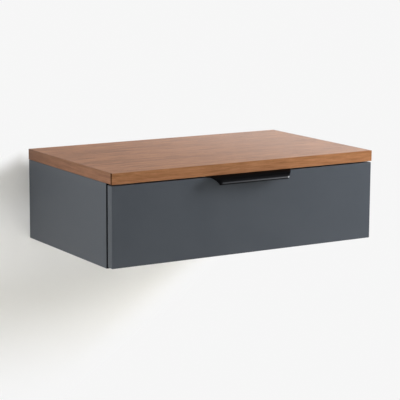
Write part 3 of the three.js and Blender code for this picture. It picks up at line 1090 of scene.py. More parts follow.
# painted highlight: a lighter coat for the pull's right end, which faces the key lamp
PAINTED_HIGHLIGHT_COAT = PowderCoat("painted_highlight_coat", (0.100, 0.102, 0.110), (0.140, 0.143, 0.150))
ZINC = Metal("zinc_plate")
STEEL_BALLS = Metal("ball_steel", (0.66, 0.66, 0.67), (0.52, 0.52, 0.53), (500.0, 500.0, 500.0), 0.12)
ALUMINIUM = Metal("drawn_aluminium", (0.72, 0.73, 0.74), (0.58, 0.59, 0.60), (10.0, 1600.0, 1600.0), 0.30)
BEECH = Beech("turned_beech")
RUBBER = SoftRubber("milky_rubber")
GLUE = GlueLine("glue_line")


# ---------------------------------------------------------------------------------------------------------
# Fixings
# ---------------------------------------------------------------------------------------------------------

SIDES = (("left", -1), ("right", 1))
ENDS = ("front", "rear")
RAIL_SCREWS = tuple(f"carcass_rail_screw_{i}" for i in (1, 2, 3))
PULL_SCREWS = tuple(f"pull_screw_{label}" for label, _ in SIDES)


@dataclass
class Screw:
    """Countersunk screw. Its head's face is at its own z = 0 and it points along -Z."""

    length: float
    head: float = 3.3 * MM
    head_rim: float = 0.15 * MM
    shank: float = 1.7 * MM
    core: float = 1.25 * MM  # radius between the thread's ridges
    pitch: float = 1.1 * MM
    tip: float = 2.5 * MM
    recess_arm: float = 1.9 * MM
    recess_width: float = 0.8 * MM
    recess_depth: float = 1.1 * MM
    recess_taper: float = 0.6  # share of the recess that is left at its bottom

    @cached_property
    def pattern(self) -> Object:
        """The screw that all others of its length are copied from: a threaded body with a cross recess.

        Returns:
            The screw.
        """
        body = turned(f"screw_{self.length / MM:.0f}", self.profile(), segments=24)
        wide, long = self.recess_width / 2, self.recess_arm
        for x, y in ((long, wide), (wide, long)):
            slot = block("recess", Box(Vector((-x, -y, -self.recess_depth)), Vector((x, y, OVERRUN))))
            with editing(slot, Pick.FACES, facing((0, 0, -1))):
                bpy.ops.transform.resize(value=(self.recess_taper, self.recess_taper, 1))
            carve(body, slot)
        smooth(body)
        return body

    def profile(self) -> list[tuple[float, float]]:
        """Works out its outline.

        Returns:
            Points from the tip up to the head's face.
        """
        low = self.tip - self.length
        neck = self.shank - self.head
        high = neck - self.pitch
        ridges = max(1, int((high - low) / self.pitch))
        step = (high - low) / ridges
        points = [(0, -self.length), (self.core * 0.5, low - self.tip * 0.5), (self.core, low)]
        for i in range(ridges):
            points += [(self.shank, low + (i + 0.5) * step), (self.core, low + (i + 1) * step)]
        return [*points, (self.shank, neck), (self.head, -self.head_rim), (self.head, 0), (0, 0)]

    def place(self, node: str, towards: Sequence[float]) -> Matrix:
        """Finds where a screw sits: its head's face at the end of its solid that it points away from.

        Args:
            node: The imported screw.
            towards: The direction that it points in.

        Returns:
            The place of its head's face.
        """
        box, direction = Box.of(node), Vector(towards)
        half = abs(box.size.dot(direction)) / 2
        side = (1, 0, 0) if abs(direction.x) < 0.5 else (0, 1, 0)
        return place_at(box.middle - direction * half, -direction, side)

    def fit(self, nodes: Sequence[str], towards: Sequence[float], body: str) -> None:
        """Puts screws in the places of packed ones.

        Args:
            nodes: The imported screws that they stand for.
            towards: The direction that they point in.
            body: The body that they move with.
        """
        for node in nodes:
            piece = copy_of(self.pattern, f"{node}_plated", self.place(node, towards))
            finish(piece, body, ZINC, [node])

    def bores(self, nodes: Sequence[str], towards: Sequence[float]) -> list[Object]:
        """The cutters for countersunk holes.

        Args:
            nodes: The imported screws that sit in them.
            towards: The direction that they point in.

        Returns:
            One cutter for each screw.
        """
        narrow, wide = self.shank + FIT, self.head + FIT
        profile = [
            (0, -self.length - FIT),
            (narrow, -self.length - FIT),
            (narrow, self.shank - self.head),
            (wide, 0),
            (wide, OVERRUN),
            (0, OVERRUN),
        ]
        return [turned("bore", profile, self.place(node, towards)) for node in nodes]


def end_screws(kind: str, label: str) -> list[str]:
    """The front and the rear screw of one kind at one side."""
    return [f"{kind}_{label}_{end}" for end in ENDS]


LONG_SCREW = Screw(14.8 * MM)
SHORT_SCREW = Screw(11.0 * MM)


@dataclass
class CamJoint:
    """A cam and a bolt that draw two boards together.

    Its own z = 0 is the joint. The bolt is screwed in below it, and the cam sits above it with its face
    towards +X.
    """

    name: str
    body: str
    bolt_axis: Sequence[float]
    cam_face: Sequence[float]
    thickness: float  # of the board that holds the cam
    radius: float = 7.5 * MM
    rim: float = 0.5 * MM  # of the cam
    set_back: float = 24 * MM
    floor: float = 2.5 * MM
    slot_width: float = 1.2 * MM
    slot_depth: float = 1.5 * MM
    slot_length: float = 9 * MM
    slot_cross: float = 2.8125 * MM  # half of the slot's shorter arm
    thread_length: float = 10 * MM
    thread: float = 3 * MM
    root: float = 0.78  # share of the thread's radius between its ridges
    ridges: int = 7
    valley: float = 0.1  # share of the way to the next ridge where the thread is narrowest
    crest: float = 0.6  # and where it is widest
    shaft: float = 2.6 * MM
    neck: float = 1.7 * MM
    head: float = 3.2 * MM
    head_rim: float = 0.4 * MM
    head_length: float = 4 * MM
    neck_length: float = 3 * MM

    @property
    def place(self) -> Matrix:
        """Finds the joint from its packed bolt.

        Returns:
            The joint's place.
        """
        box, axis = Box.of(f"{self.name}_bolt"), Vector(self.bolt_axis)
        half = abs(box.size.dot(axis)) / 2
        return place_at(box.middle + axis * (self.thread_length - half), axis, self.cam_face)

    @property
    def disc_place(self) -> Matrix:
        """The cam's own place, with +Z out of its face."""
        turn = Matrix(((0, 0, 1), (1, 0, 0), (0, 1, 0))).to_4x4()
        return self.place @ Matrix.Translation((0, 0, self.set_back)) @ turn

    @property
    def disc_floor(self) -> float:
        """Height of the pocket's floor in the cam's own place."""
        return self.floor - self.thickness / 2

    def build(self) -> None:
        """Makes the bolt and the cam."""
        self.bolt()
        self.cam()

    def bolt(self) -> None:
        """A turned bolt with a threaded end, a neck and a round head."""
        head_from = self.set_back - self.head_length / 2
        head_to = self.set_back + self.head_length / 2
        neck_from = head_from - self.neck_length
        step = (self.thread_length - SEAT) / self.ridges
        profile = [(0, -self.thread_length), (self.neck, -self.thread_length)]
        for i in range(self.ridges):
            low = -self.thread_length + i * step
            profile.append((self.thread * self.root, low + step * self.valley))
            profile.append((self.thread, low + step * self.crest))
        profile += [
            (self.thread, -SEAT),
            (self.shaft, -SEAT),
            (self.shaft, neck_from - self.head_rim),
            (self.neck, neck_from),
            (self.neck, head_from),
            (self.head - self.head_rim, head_from),
            (self.head, head_from + self.head_rim),
            (self.head, head_to - self.head_rim),
            (self.head - self.head_rim, head_to),
            (0, head_to),
        ]
        piece = turned(f"{self.name}_bolt_turned", profile, self.place, 24)
        smooth(piece)
        finish(piece, self.body, ZINC, [f"{self.name}_bolt"])

    def cam(self) -> None:
        """A cast cam with a driver slot across its face and a way in for the bolt's head."""
        low, high = self.disc_floor + FIT, self.thickness / 2 - SEAT
        profile = [
            (0, low),
            (self.radius - self.rim, low),
            (self.radius, low + self.rim),
            (self.radius, high - self.rim),
            (self.radius - self.rim, high),
            (0, high),
        ]
        piece = turned(f"{self.name}_cam_cast", profile, self.disc_place, 48)
        way = self.head + FIT
        cutters = [((-way, -way, 0), (way, way, self.set_back + self.head_length / 2 + FIT))]
        half = self.slot_width / 2
        for long, wide in ((self.slot_length / 2, half), (half, self.slot_cross)):
            bottom = (high - self.slot_depth, -wide, self.set_back - long)
            cutters.append((bottom, (high + OVERRUN, wide, self.set_back + long)))
        for corners in cutters:
            carve(piece, settle(block("slot", Box(*map(Vector, corners))), self.place))
        smooth(piece)
        finish(piece, self.body, ZINC, [f"{self.name}_cam"])

    def bolt_bore(self) -> Object:
        """The cutter for the bolt's bore through both boards.

        Returns:
            The cutter.
        """
        wide, narrow = self.head + FIT, self.thread + FIT
        bottom = -self.thread_length - FIT
        profile = [(0, bottom), (narrow, bottom), (narrow, 0), (wide, 0), (wide, self.set_back)]
        return turned("bore", [*profile, (0, self.set_back)], self.place)

    def cam_bore(self) -> Object:
        """The cutter for the cam's pocket."""
        top = self.thickness / 2 + OVERRUN
        return rod("pocket", self.radius + FIT, self.disc_floor, top, self.disc_place)


@dataclass
class Dowel:
    """Fluted beech dowel, across the joint between a side board and what it carries."""

    radius: float = 4 * MM
    length: float = 30 * MM
    chamfer: float = 1 * MM
    flutes: int = 20
    flute_depth: float = 0.06  # share of the radius

    @cached_property
    def pattern(self) -> Object:
        """The dowel that all others are copied from, along its own Z.

        Returns:
            The dowel.
        """
        half, step = self.length / 2, math.pi / self.flutes
        piece = rod("dowel", self.radius, -half, half, Matrix.Identity(4), 2 * self.flutes)
        ease(piece, self.chamfer, lambda middle, direction: abs(abs(middle.z) - half) < NEAR, 1)

        def in_flute(point: Vector, normal: Vector) -> bool:
            """Passes every second row of vertices."""
            return round(math.atan2(point.y, point.x) / step) % 2 == 1

        share = 1 - self.flute_depth
        with editing(piece, Pick.VERTICES, in_flute):
            bpy.ops.transform.resize(value=(share, share, 1))
        smooth(piece, math.radians(20))
        return piece

    def place(self, node: str) -> Matrix:
        """The place of a packed dowel, with +Z along it."""
        return place_at(Box.of(node).middle, RIGHT, (0, 1, 0))

    def fit(self, node: str) -> None:
        """Puts a dowel in the place of a packed one."""
        piece = copy_of(self.pattern, f"{node}_fluted", self.place(node))
        finish(piece, "carcass", BEECH, [node])

    def bores(self, nodes: Sequence[str]) -> list[Object]:
        """The cutters for dowels' bores."""
        half = self.length / 2 + FIT
        return [rod("bore", self.radius + FIT, -half, half, self.place(node), 32) for node in nodes]


DOWEL = Dowel()


def groove(node: str, by: Sequence[float], open_to: Sequence[float] = (0, 0, 0)) -> Object:
    """The cutter for a groove that holds a panel.

    Args:
        node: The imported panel.
        by: Room round it along x, y and z.
        open_to: How far the groove runs on past the panel's high corner.

    Returns:
        The cutter.
    """
    box = Box.of(node).grown(by)
    return block("groove", Box(box.low, box.high + Vector(open_to)))


def back_groove() -> Object:
    """The cutter for the groove round the back panel."""
    return groove("back_panel", (FIT, FIT / 2, FIT))


def top_joints(label: str, side: int) -> list[CamJoint]:
    """The two cam joints between the top and one side board."""
    place = ((0, 0, -1), (-side, 0, 0), 15 * MM)
    return [CamJoint(f"top_{label}_{end}", "carcass", *place) for end in ENDS]


def drawer_joint(label: str, side: int) -> CamJoint:
    """The cam joint between the drawer front and one drawer side."""
    return CamJoint(f"drawer_{label}", "drawer", (0, 1, 0), (side, 0, 0), 12 * MM)


# ---------------------------------------------------------------------------------------------------------
# Top and carcass
# ---------------------------------------------------------------------------------------------------------


@dataclass
class Top:
    """The veneered top: a panel, a lipping on its front and edging on its sides."""

    edge: float = 0.5 * MM  # rounding of the edging's outer edges
    arris: float = 0.3 * MM  # of the panel's rear edges
    raw_lean: float = 0.5  # how far a face leans to the rear if it is part of the raw edge
    glue_half: float = 1.9 * MM  # of the glue line, on each side of the joint
    face: Veneer = Veneer(
        "veneer_top",
        dark=(0.156, 0.059, 0.021),
        middle=(0.247, 0.102, 0.041),
        light=(0.336, 0.152, 0.067),
        gloss=(0.54, 0.29),
        sheen=0.28,
    )
    front: Veneer = Veneer(
        "veneer_lipping",
        cut=(0.31, 0.0, 0.07),
        dark=(0.212, 0.092, 0.039),
        middle=(0.265, 0.120, 0.053),
        light=(0.317, 0.149, 0.071),
        sheen=0.12,
    )
    ends: Veneer = Veneer(
        "veneer_edging",
        Grain.DEEP,
        (0.0, 0.4, 0.11),
        dark=(0.150, 0.064, 0.031),
        middle=(0.188, 0.085, 0.043),
        light=(0.224, 0.106, 0.056),
        sheen=0.15,
        # painted shade on the edging towards the wall
        fade=0.45,
    )

    def build(self) -> None:
        """Makes the panel and its edging."""
        self.panel()
        self.lipping()
        for label, side in SIDES:
            self.edging(label, side)

    def panel(self) -> None:
        """The panel, with the bolts' bores, the back panel's groove and its raw rear edge."""
        rear = Box.of("top_panel").high.y
        joints = [joint for label, side in SIDES for joint in top_joints(label, side)]
        cutters = [*(joint.bolt_bore() for joint in joints), back_groove()]
        piece = board("veneered_panel", "top_panel", self.arris, cutters, at(1, rear))
        recoat(piece, lambda middle, normal: normal.y > self.raw_lean and middle.y > rear - MM)
        finish(piece, "carcass", [self.face, CORE], ["top_panel"])

    def glue_line(self, piece: Object, y: float, side: int) -> None:
        """Gives a piece's ends the glue line's finish, from a plane to the joint.

        Args:
            piece: The lipping or an edging.
            y: Where the line starts.
            side: 1 where it runs on towards the wall, or -1 where it comes from there.
        """
        with editing(piece, Pick.FACES):
            bpy.ops.mesh.bisect(plane_co=(0, y, 0), plane_no=(0, 1, 0))
        recoat(piece, lambda middle, normal: abs(normal.x) > LEANING and (middle.y - y) * side > 0)

    def lipping(self) -> None:
        """The lipping along the front, rounded all round its outer faces."""
        box = Box.of("top_edge_front")
        piece = block("front_lipping", box)

        def outer(middle: Vector, direction: Vector) -> bool:
            """Passes all edges but the two long ones that the panel covers."""
            return not (abs(direction.x) > ALONG and abs(middle.y - box.high.y) < NEAR)

        ease(piece, self.edge, outer, 4)
        self.glue_line(piece, box.high.y - self.glue_half, 1)
        smooth(piece)
        finish(piece, "carcass", [self.front, GLUE], ["top_edge_front"])

    def edging(self, label: str, side: int) -> None:
        """The edging along one side.

        Args:
            label: "left" or "right".
            side: -1 for the left or 1 for the right.
        """
        box = Box.of(f"top_edge_{label}")
        piece = block(f"side_edging_{label}", box)
        ease(piece, self.edge, at(0, box.end(0, side)), 4)
        self.glue_line(piece, box.low.y + self.glue_half, -1)
        smooth(piece)
        finish(piece, "carcass", [self.ends, GLUE], [f"top_edge_{label}"])


@dataclass
class Carcass:
    """Two sides, a bottom, a rear rail and a back panel, with their dowels, cams and soft stops."""

    arris: float = 0.8 * MM
    back_arris: float = 0.3 * MM
    stop_radius: float = 4 * MM
    stop_foot: float = 0.12  # share of a soft stop's height below its dome
    stop_taper: float = 0.94  # share of its radius at its back
    stop_steps: int = 8

    def build(self) -> None:
        """Makes every board and what holds them."""
        for label, side in SIDES:
            self.side(label, side)
            self.stop(label)
            for joint in top_joints(label, side):
                joint.build()
            for node in self.dowels(label):
                DOWEL.fit(node)
        self.bottom()
        self.rear_rail()
        self.back_panel()

    @staticmethod
    def dowels(label: str) -> list[str]:
        """The dowels in one side board: the bottom board's two and the rear rail's."""
        return [*(f"bottom_dowel_{label}_{end}" for end in ENDS), f"rear_rail_dowel_{label}"]

    def side(self, label: str, side: int) -> None:
        """A side board with its cam pockets, bores and groove.

        Args:
            label: "left" or "right".
            side: -1 for the left or 1 for the right.
        """
        node = f"side_panel_{label}"
        cutters = [cut() for joint in top_joints(label, side) for cut in (joint.bolt_bore, joint.cam_bore)]
        cutters += DOWEL.bores(self.dowels(label))
        cutters += SHORT_SCREW.bores(end_screws("runner_screw", label), (side, 0, 0))
        piece = board(f"side_board_{label}", node, self.arris, [*cutters, back_groove()])
        front = Box.of(node).low.y + self.arris
        # the side board's front edge gets the painted gap shade
        recoat(piece, lambda middle, normal: normal.y < -LEANING and middle.y < front)
        finish(piece, "carcass", [LACQUER, PAINTED_GAP_SHADE], [node])

    def bottom(self) -> None:
        """The bottom board with its dowels' bores and groove."""
        cutters = DOWEL.bores([dowel for label, _ in SIDES for dowel in self.dowels(label)[:2]])
        piece = board("bottom_board", "bottom_panel", self.arris, [*cutters, back_groove()])
        finish(piece, "carcass", LACQUER, ["bottom_panel"])

    def rear_rail(self) -> None:
        """The rail across the back, which the hooked rail is screwed to."""
        cutters = DOWEL.bores([f"rear_rail_dowel_{label}" for label, _ in SIDES])
        cutters += LONG_SCREW.bores(RAIL_SCREWS, FORWARDS)
        piece = board("cross_rail", "rear_rail", self.back_arris, cutters)
        finish(piece, "carcass", LACQUER, ["rear_rail"])

    def back_panel(self) -> None:
        """The thin panel in the groove."""
        piece = board("back_sheet", "back_panel", self.back_arris)
        finish(piece, "carcass", HARDBOARD, ["back_panel"])

    def stop(self, label: str) -> None:
        """A soft dome that the closed drawer front meets.

        Args:
            label: "left" or "right".
        """
        node = f"bumper_{label}"
        box = Box.of(node)
        base = (box.middle.x, box.high.y, box.middle.z)
        height, foot = box.size.y, self.stop_foot
        profile = [(0, 0), (self.stop_radius * self.stop_taper, 0), (self.stop_radius, foot * height)]
        for i in range(1, self.stop_steps + 1):
            turn = math.pi / 2 * i / self.stop_steps
            rise = foot + (1 - foot) * math.sin(turn)
            profile.append((self.stop_radius * math.cos(turn), height * rise))
        piece = turned(f"soft_stop_{label}", profile, place_at(base, FORWARDS, RIGHT))
        smooth(piece, math.radians(50))
        finish(piece, "carcass", RUBBER, [node])


# ---------------------------------------------------------------------------------------------------------
# Hanging
# ---------------------------------------------------------------------------------------------------------


@dataclass
class WallHanging:
    """Two hooked rails: one on the wall and one, turned over, on the carcass."""

    sheet: float = 2 * MM
    bend: float = 1.1 * MM
    rim: float = 0.25 * MM
    base: float = 20 * MM
    flange: float = 10 * MM
    gap: float = 2.6 * MM  # slot behind a flange
    hole: float = 2.75 * MM
    countersink: float = 4.6 * MM
    hole_inset: float = 35 * MM
    hole_count: int = 4

    def build(self) -> None:
        """Makes both rails and the screws."""
        self.wall_rail()
        self.carcass_rail()
        LONG_SCREW.fit(RAIL_SCREWS, FORWARDS, "carcass")

    def rail(self, name: str, node: str, base_y: float, bend_z: float, over: int) -> Object:
        """A rail drawn out from its profile.

        Args:
            name: The piece's name.
            node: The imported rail.
            base_y: The plane of its base.
            bend_z: Height of its bend.
            over: 1 as it hangs on the wall, -1 turned over.

        Returns:
            The rail, without its holes.
        """
        box = Box.of(node)
        half, step = self.sheet / 2, self.sheet + self.gap
        rise = half * (math.sqrt(2) - 1)
        far = step + half
        profile = [(half, -self.base), (half, rise), (far, step + rise), (far, step + self.flange)]
        path = [(box.low.x, base_y - over * out, bend_z + over * up) for out, up in profile]
        piece = folded(name, path, (box.size.x, 0, 0), self.sheet, self.bend)
        ease_rims(piece, self.rim)
        return piece

    def wall_rail(self) -> None:
        """The rail on the wall, with countersunk holes for its screws."""
        box = Box.of("wall_rail")
        bend = box.low.z + self.base
        piece = self.rail("hook_rail_wall", "wall_rail", 0, bend, 1)
        profile = [
            (0, -self.sheet - OVERRUN),
            (self.hole, -self.sheet - OVERRUN),
            (self.hole, self.hole - self.countersink),
            (self.countersink, 0),
            (self.countersink, OVERRUN),
            (0, OVERRUN),
        ]
        reach = box.size.x - 2 * self.hole_inset
        for i in range(self.hole_count):
            x = box.middle.x + (i / (self.hole_count - 1) - 0.5) * reach
            place = place_at((x, -self.sheet, bend - self.base / 2), FORWARDS, RIGHT)
            carve(piece, turned("hole", profile, place))
        smooth(piece)
        finish(piece, "carcass", ALUMINIUM, ["wall_rail"])

    def carcass_rail(self) -> None:
        """The rail on the carcass, whose flange drops behind the wall rail's."""
        box = Box.of("carcass_rail")
        piece = self.rail("hook_rail_carcass", "carcass_rail", box.low.y, box.high.z - self.base, -1)
        carve(piece, *LONG_SCREW.bores(RAIL_SCREWS, FORWARDS))
        smooth(piece)
        finish(piece, "carcass", ALUMINIUM, ["carcass_rail"])


# ---------------------------------------------------------------------------------------------------------
# Runners
# ---------------------------------------------------------------------------------------------------------


Points = tuple[tuple[float, float], ...]


@dataclass(frozen=True)
class Channel:
    """One channel of a runner, in millimetres across and up from the middle of the runner's outer face."""

    half: Points  # the lower half of its profile, from the flange's end to the web
    web: float  # how far across its holes are punched
    holes: Points  # each hole's place as a share of the length, and its radius


@dataclass(frozen=True)
class Cage:
    """One ball cage of a runner, in millimetres as a channel is."""

    web: float  # how far across its web is
    flange: float  # how far across its flanges end
    height: float  # how far up its flanges are
    across: float  # how far across its balls are


@dataclass
class Runner:
    """One telescopic runner: three nested channels with two cages of balls.

    Its own origin is the middle of its outer face, and its own +X points towards the drawer.
    """

    label: str
    side: int
    sheet: float = 1.2 * MM
    cage_sheet: float = 0.8 * MM
    bend: float = 1.0 * MM
    rim: float = 0.2 * MM
    cage_rim: float = 0.12 * MM
    ball: float = 1.5 * MM
    balls: int = 4  # in a row
    cage_margin: float = 8 * MM
    outer: Channel = Channel(
        ((8.4, -14.8), (8.4, -16.9), (0.6, -16.9)),
        0.6,
        ((-0.38, 2.2), (-0.17, 2.2), (0.0, 3.2), (0.17, 2.2), (0.38, 2.2)),
    )
    middle: Channel = Channel(
        ((9.8, -10.0), (9.8, -12.1), (3.5, -12.1)), 3.5, ((-0.352, 5.0), (0.0, 3.0), (0.352, 5.0))
    )
    inner: Channel = Channel(((5.8, -7.3), (12.1, -7.3)), 12.1, ((-0.17, 2.2), (0.0, 2.2), (0.17, 2.2)))
    outer_cage: Cage = Cage(2.05, 7.1, 14.5, 5.6)
    inner_cage: Cage = Cage(4.8, 9.0, 9.7, 7.5)

    @property
    def place(self) -> Matrix:
        """The runner's place, found from its packed outer channel."""
        box = Box.of(f"runner_outer_{self.label}")
        return place_at((box.end(0, self.side), box.middle.y, box.middle.z), UP, (-self.side, 0, 0))

    def build(self) -> None:
        """Makes the channels, the cages and the screws."""
        for name, channel, body, screw, towards in (
            ("outer", self.outer, "carcass", "runner_screw", self.side),
            ("middle", self.middle, f"middle_channel_{self.label}", None, 0),
            ("inner", self.inner, "drawer", "drawer_screw", -self.side),
        ):
            screws = end_screws(screw, self.label) if screw else []
            self.channel(name, channel, body, SHORT_SCREW.bores(screws, (towards, 0, 0)))
            SHORT_SCREW.fit(screws, (towards, 0, 0), body)
        self.cage("outer", self.outer_cage)
        self.cage("inner", self.inner_cage)

    def strip(self, name: str, half: Points, length: float, sheet: float) -> Object:
        """A channel or cage folded from its lower half profile.

        Args:
            name: The piece's name.
            half: Its lower half as (across, up) points in millimetres, from the flange's end to the web.
            length: Its length.
            sheet: Its thickness.

        Returns:
            The folded strip, in the runner's own frame.
        """
        whole = [*half, *((across, -up) for across, up in reversed(half))]
        path = [(across * MM, -length / 2, up * MM) for across, up in whole]
        return folded(name, path, (0, length, 0), sheet, self.bend * sheet / self.sheet)

    def channel(self, name: str, form: Channel, body: str, bores: Sequence[Object]) -> None:
        """One of the three channels, folded, punched and bored.

        Args:
            name: "outer", "middle" or "inner".
            form: Its profile and punched holes.
            body: The body that it moves with.
            bores: The cutters for its countersunk holes.
        """
        node = f"runner_{name}_{self.label}"
        length, reach = Box.of(node).size.y, 1.5 * self.sheet
        piece = self.strip(f"{name}_channel_{self.label}", form.half, length, self.sheet)
        ease_rims(piece, self.rim)
        for share, radius in form.holes:
            place = place_at((form.web * MM, share * length, 0), RIGHT, (0, 1, 0))
            carve(piece, rod("hole", radius * MM, -reach, reach, place, 32))
        settle(piece, self.place)
        carve(piece, *bores)
        smooth(piece)
        finish(piece, body, ZINC, [node])

    def cage(self, name: str, form: Cage) -> None:
        """A thin channel with a row of balls held in each flange.

        Args:
            name: "outer" or "inner".
            form: Its profile and where its balls are.
        """
        node = f"ball_cage_{name}_{self.label}"
        length = Box.of(node).size.y
        half = ((form.flange, -form.height), (form.web, -form.height))
        piece = self.strip(f"{name}_balls_{self.label}", half, length, self.cage_sheet)
        ease_rims(piece, self.cage_rim, 1)
        sphere = bpy.ops.mesh.primitive_uv_sphere_add
        pattern = add("ball", sphere, segments=20, ring_count=12, radius=self.ball)
        for row in (-1, 1):
            for i in range(self.balls):
                y = (i / (self.balls - 1) - 0.5) * (length - 2 * self.cage_margin)
                spot = Matrix.Translation((form.across * MM, y, row * form.height * MM))
                unite(piece, copy_of(pattern, "seated_ball", spot))
        bpy.data.objects.remove(pattern)
        settle(piece, self.place)
        smooth(piece)
        finish(piece, f"{name}_cage_{self.label}", STEEL_BALLS, [node])


# ---------------------------------------------------------------------------------------------------------
# Drawer
# ---------------------------------------------------------------------------------------------------------


@dataclass
class Drawer:
    """The lacquered front and the drawer box behind it."""

    arris: float = 0.8 * MM
    box_arris: float = 0.6 * MM

    def build(self) -> None:
        """Makes the front, the box and the cam joints between them."""
        self.front()
        for label, side in SIDES:
            self.side(label, side)
            drawer_joint(label, side).build()
        self.back()
        self.bottom()

    @staticmethod
    def bottom_groove() -> Object:
        """The cutter for the groove that holds the drawer's bottom."""
        return groove("drawer_bottom", (FIT, FIT, FIT / 2), (0, OVERRUN, 0))

    def front(self) -> None:
        """The front board, eased all round, with the bores and the groove in its back."""
        cutters = [drawer_joint(label, side).bolt_bore() for label, side in SIDES]
        cutters += [*SHORT_SCREW.bores(PULL_SCREWS, FORWARDS), self.bottom_groove()]
        piece = board("front_board", "drawer_front", self.arris, cutters, segments=4)
        # the front's rear arris faces, seen in the gap, get the painted gap shade
        recoat(piece, lambda middle, normal: LEANING < normal.y < FLAT)
        finish(piece, "drawer", [LACQUER, PAINTED_GAP_SHADE], ["drawer_front"])

    def side(self, label: str, side: int) -> None:
        """A side of the box, with its cam pocket, bores and groove.

        Args:
            label: "left" or "right".
            side: -1 for the left or 1 for the right.
        """
        node = f"drawer_side_{label}"
        joint = drawer_joint(label, side)
        cutters = [joint.bolt_bore(), joint.cam_bore()]
        cutters += SHORT_SCREW.bores(end_screws("drawer_screw", label), (-side, 0, 0))
        piece = board(f"box_side_{label}", node, self.box_arris, [*cutters, self.bottom_groove()])
        finish(piece, "drawer", LINEN, [node])

    def back(self) -> None:
        """The back of the box, which stands on its bottom."""
        piece = board("box_back", "drawer_back", self.box_arris)
        finish(piece, "drawer", LINEN, ["drawer_back"])

    def bottom(self) -> None:
        """The bottom of the box."""
        piece = board("box_bottom", "drawer_bottom", self.box_arris / 2)
        finish(piece, "drawer", HARDBOARD, ["drawer_bottom"])


@dataclass
class EdgePull:
    """A bent sheet over the drawer front's upper edge, whose lip curves down in front."""

    length: float = 160 * MM
    lip_length: float = 132 * MM
    sheet: float = 1.5 * MM
    flat: float = 1.5 * MM  # level part in front of the drawer front
    radius: float = 16 * MM  # of the lip, outside
    angle: float = math.radians(76)
    corner: float = 1.3 * MM  # bend over the back of the front
    flange: float = 20 * MM
    rounding: float = 0.96  # share of half the sheet that is rounded at the lip's edge
    lean: float = 0.6  # share of the ends' slant that goes with the depth; the rest goes with the height
    rim: float = 0.22 * MM
    steps: int = 18
    end_lean: float = 0.6  # how far a face leans to the right if it is part of the right end, which gets the painted highlight coat

    def build(self) -> None:
        """Makes the pull and its screws."""
        front, pull = Box.of("drawer_front"), Box.of("edge_pull")
        face, top = front.low.y, pull.high.z
        half = self.sheet / 2
        back, curve = pull.high.y - half, self.radius - half
        profile = [(back, top - self.flange), (back, top - half)]
        for i in range(self.steps + 1):
            turn = self.angle * i / self.steps
            drop = self.radius - curve * math.cos(turn)
            profile.append((face - self.flat - curve * math.sin(turn), top - drop))
        path = [Vector((pull.low.x, y, z)) for y, z in profile]
        outwards = Vector((0, -math.cos(self.angle), -math.sin(self.angle)))
        path.append(path[-1] + outwards * half * self.rounding)
        piece = folded("finger_pull", path, (self.length, 0, 0), self.sheet, self.corner, 6)
        self.round_lip(piece, path[-1], outwards)
        self.slant_ends(piece, pull, face)
        ease_rims(piece, self.rim)
        carve(piece, *SHORT_SCREW.bores(PULL_SCREWS, FORWARDS))
        smooth(piece)
        # the right end's faces get the painted highlight coat
        recoat(piece, lambda middle, normal: normal.x > self.end_lean and middle.y < face)
        finish(piece, "drawer", [BLACK, PAINTED_HIGHLIGHT_COAT], ["edge_pull"])
        SHORT_SCREW.fit(PULL_SCREWS, FORWARDS, "drawer")

    def round_lip(self, piece: Object, edge: Vector, outwards: Vector) -> None:
        """Rounds the lip's long edge to half the sheet's thickness.

        Args:
            piece: The pull.
            edge: A point on the middle of the lip's edge.
            outwards: The direction that the edge faces.
        """

        def on_edge(middle: Vector, direction: Vector) -> bool:
            """Passes the long edges round the lip's end face."""
            return abs(direction.x) > ALONG and abs((middle - edge).dot(outwards)) < NEAR

        ease(piece, self.sheet / 2 * self.rounding, on_edge, 5)

    def slant_ends(self, piece: Object, box: Box, face: float) -> None:
        """Cuts both ends of the lip at a slant, which starts at the drawer front's face.

        Args:
            piece: The pull.
            box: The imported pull's box.
            face: y of the drawer front's face.
        """
        reach = face - box.low.y
        drop = self.radius * (1 - math.cos(self.angle))
        slant = (self.length - self.lip_length) / 2
        back, down = -slant * self.lean / reach, -slant * (1 - self.lean) / drop
        for side in (-1, 1):
            corner = (box.middle.x + side * self.length / 2, face, box.high.z)
            normal = Vector((side, back, down)).normalized()
            with editing(piece, Pick.FACES):
                bpy.ops.mesh.bisect(plane_co=corner, plane_no=normal, use_fill=True, clear_outer=True)
        close(piece)


# ---------------------------------------------------------------------------------------------------------
# Studio
# ---------------------------------------------------------------------------------------------------------


@dataclass(frozen=True)
class Lamp:
    """A soft box: an upright area light."""

    name: str
    place: tuple[float, float, float]
    target: tuple[float, float, float]
    width: float
    height: float
    power: float
    spread: float = math.pi  # the beam's angle

    def build(self) -> None:
        """Adds the light, turned to its target."""
        bpy.ops.object.light_add(type="AREA", location=self.place)
        lamp = bpy.context.active_object
        lamp.name = lamp.data.name = self.name
        lamp.data.shape = "RECTANGLE"
        lamp.data.size = self.width
        lamp.data.size_y = self.height
        lamp.data.energy = self.power
        lamp.data.spread = self.spread
        lamp.visible_glossy = False
        towards = Vector(self.target) - Vector(self.place)
        lamp.rotation_euler = towards.to_track_quat("-Z", "Y").to_euler()


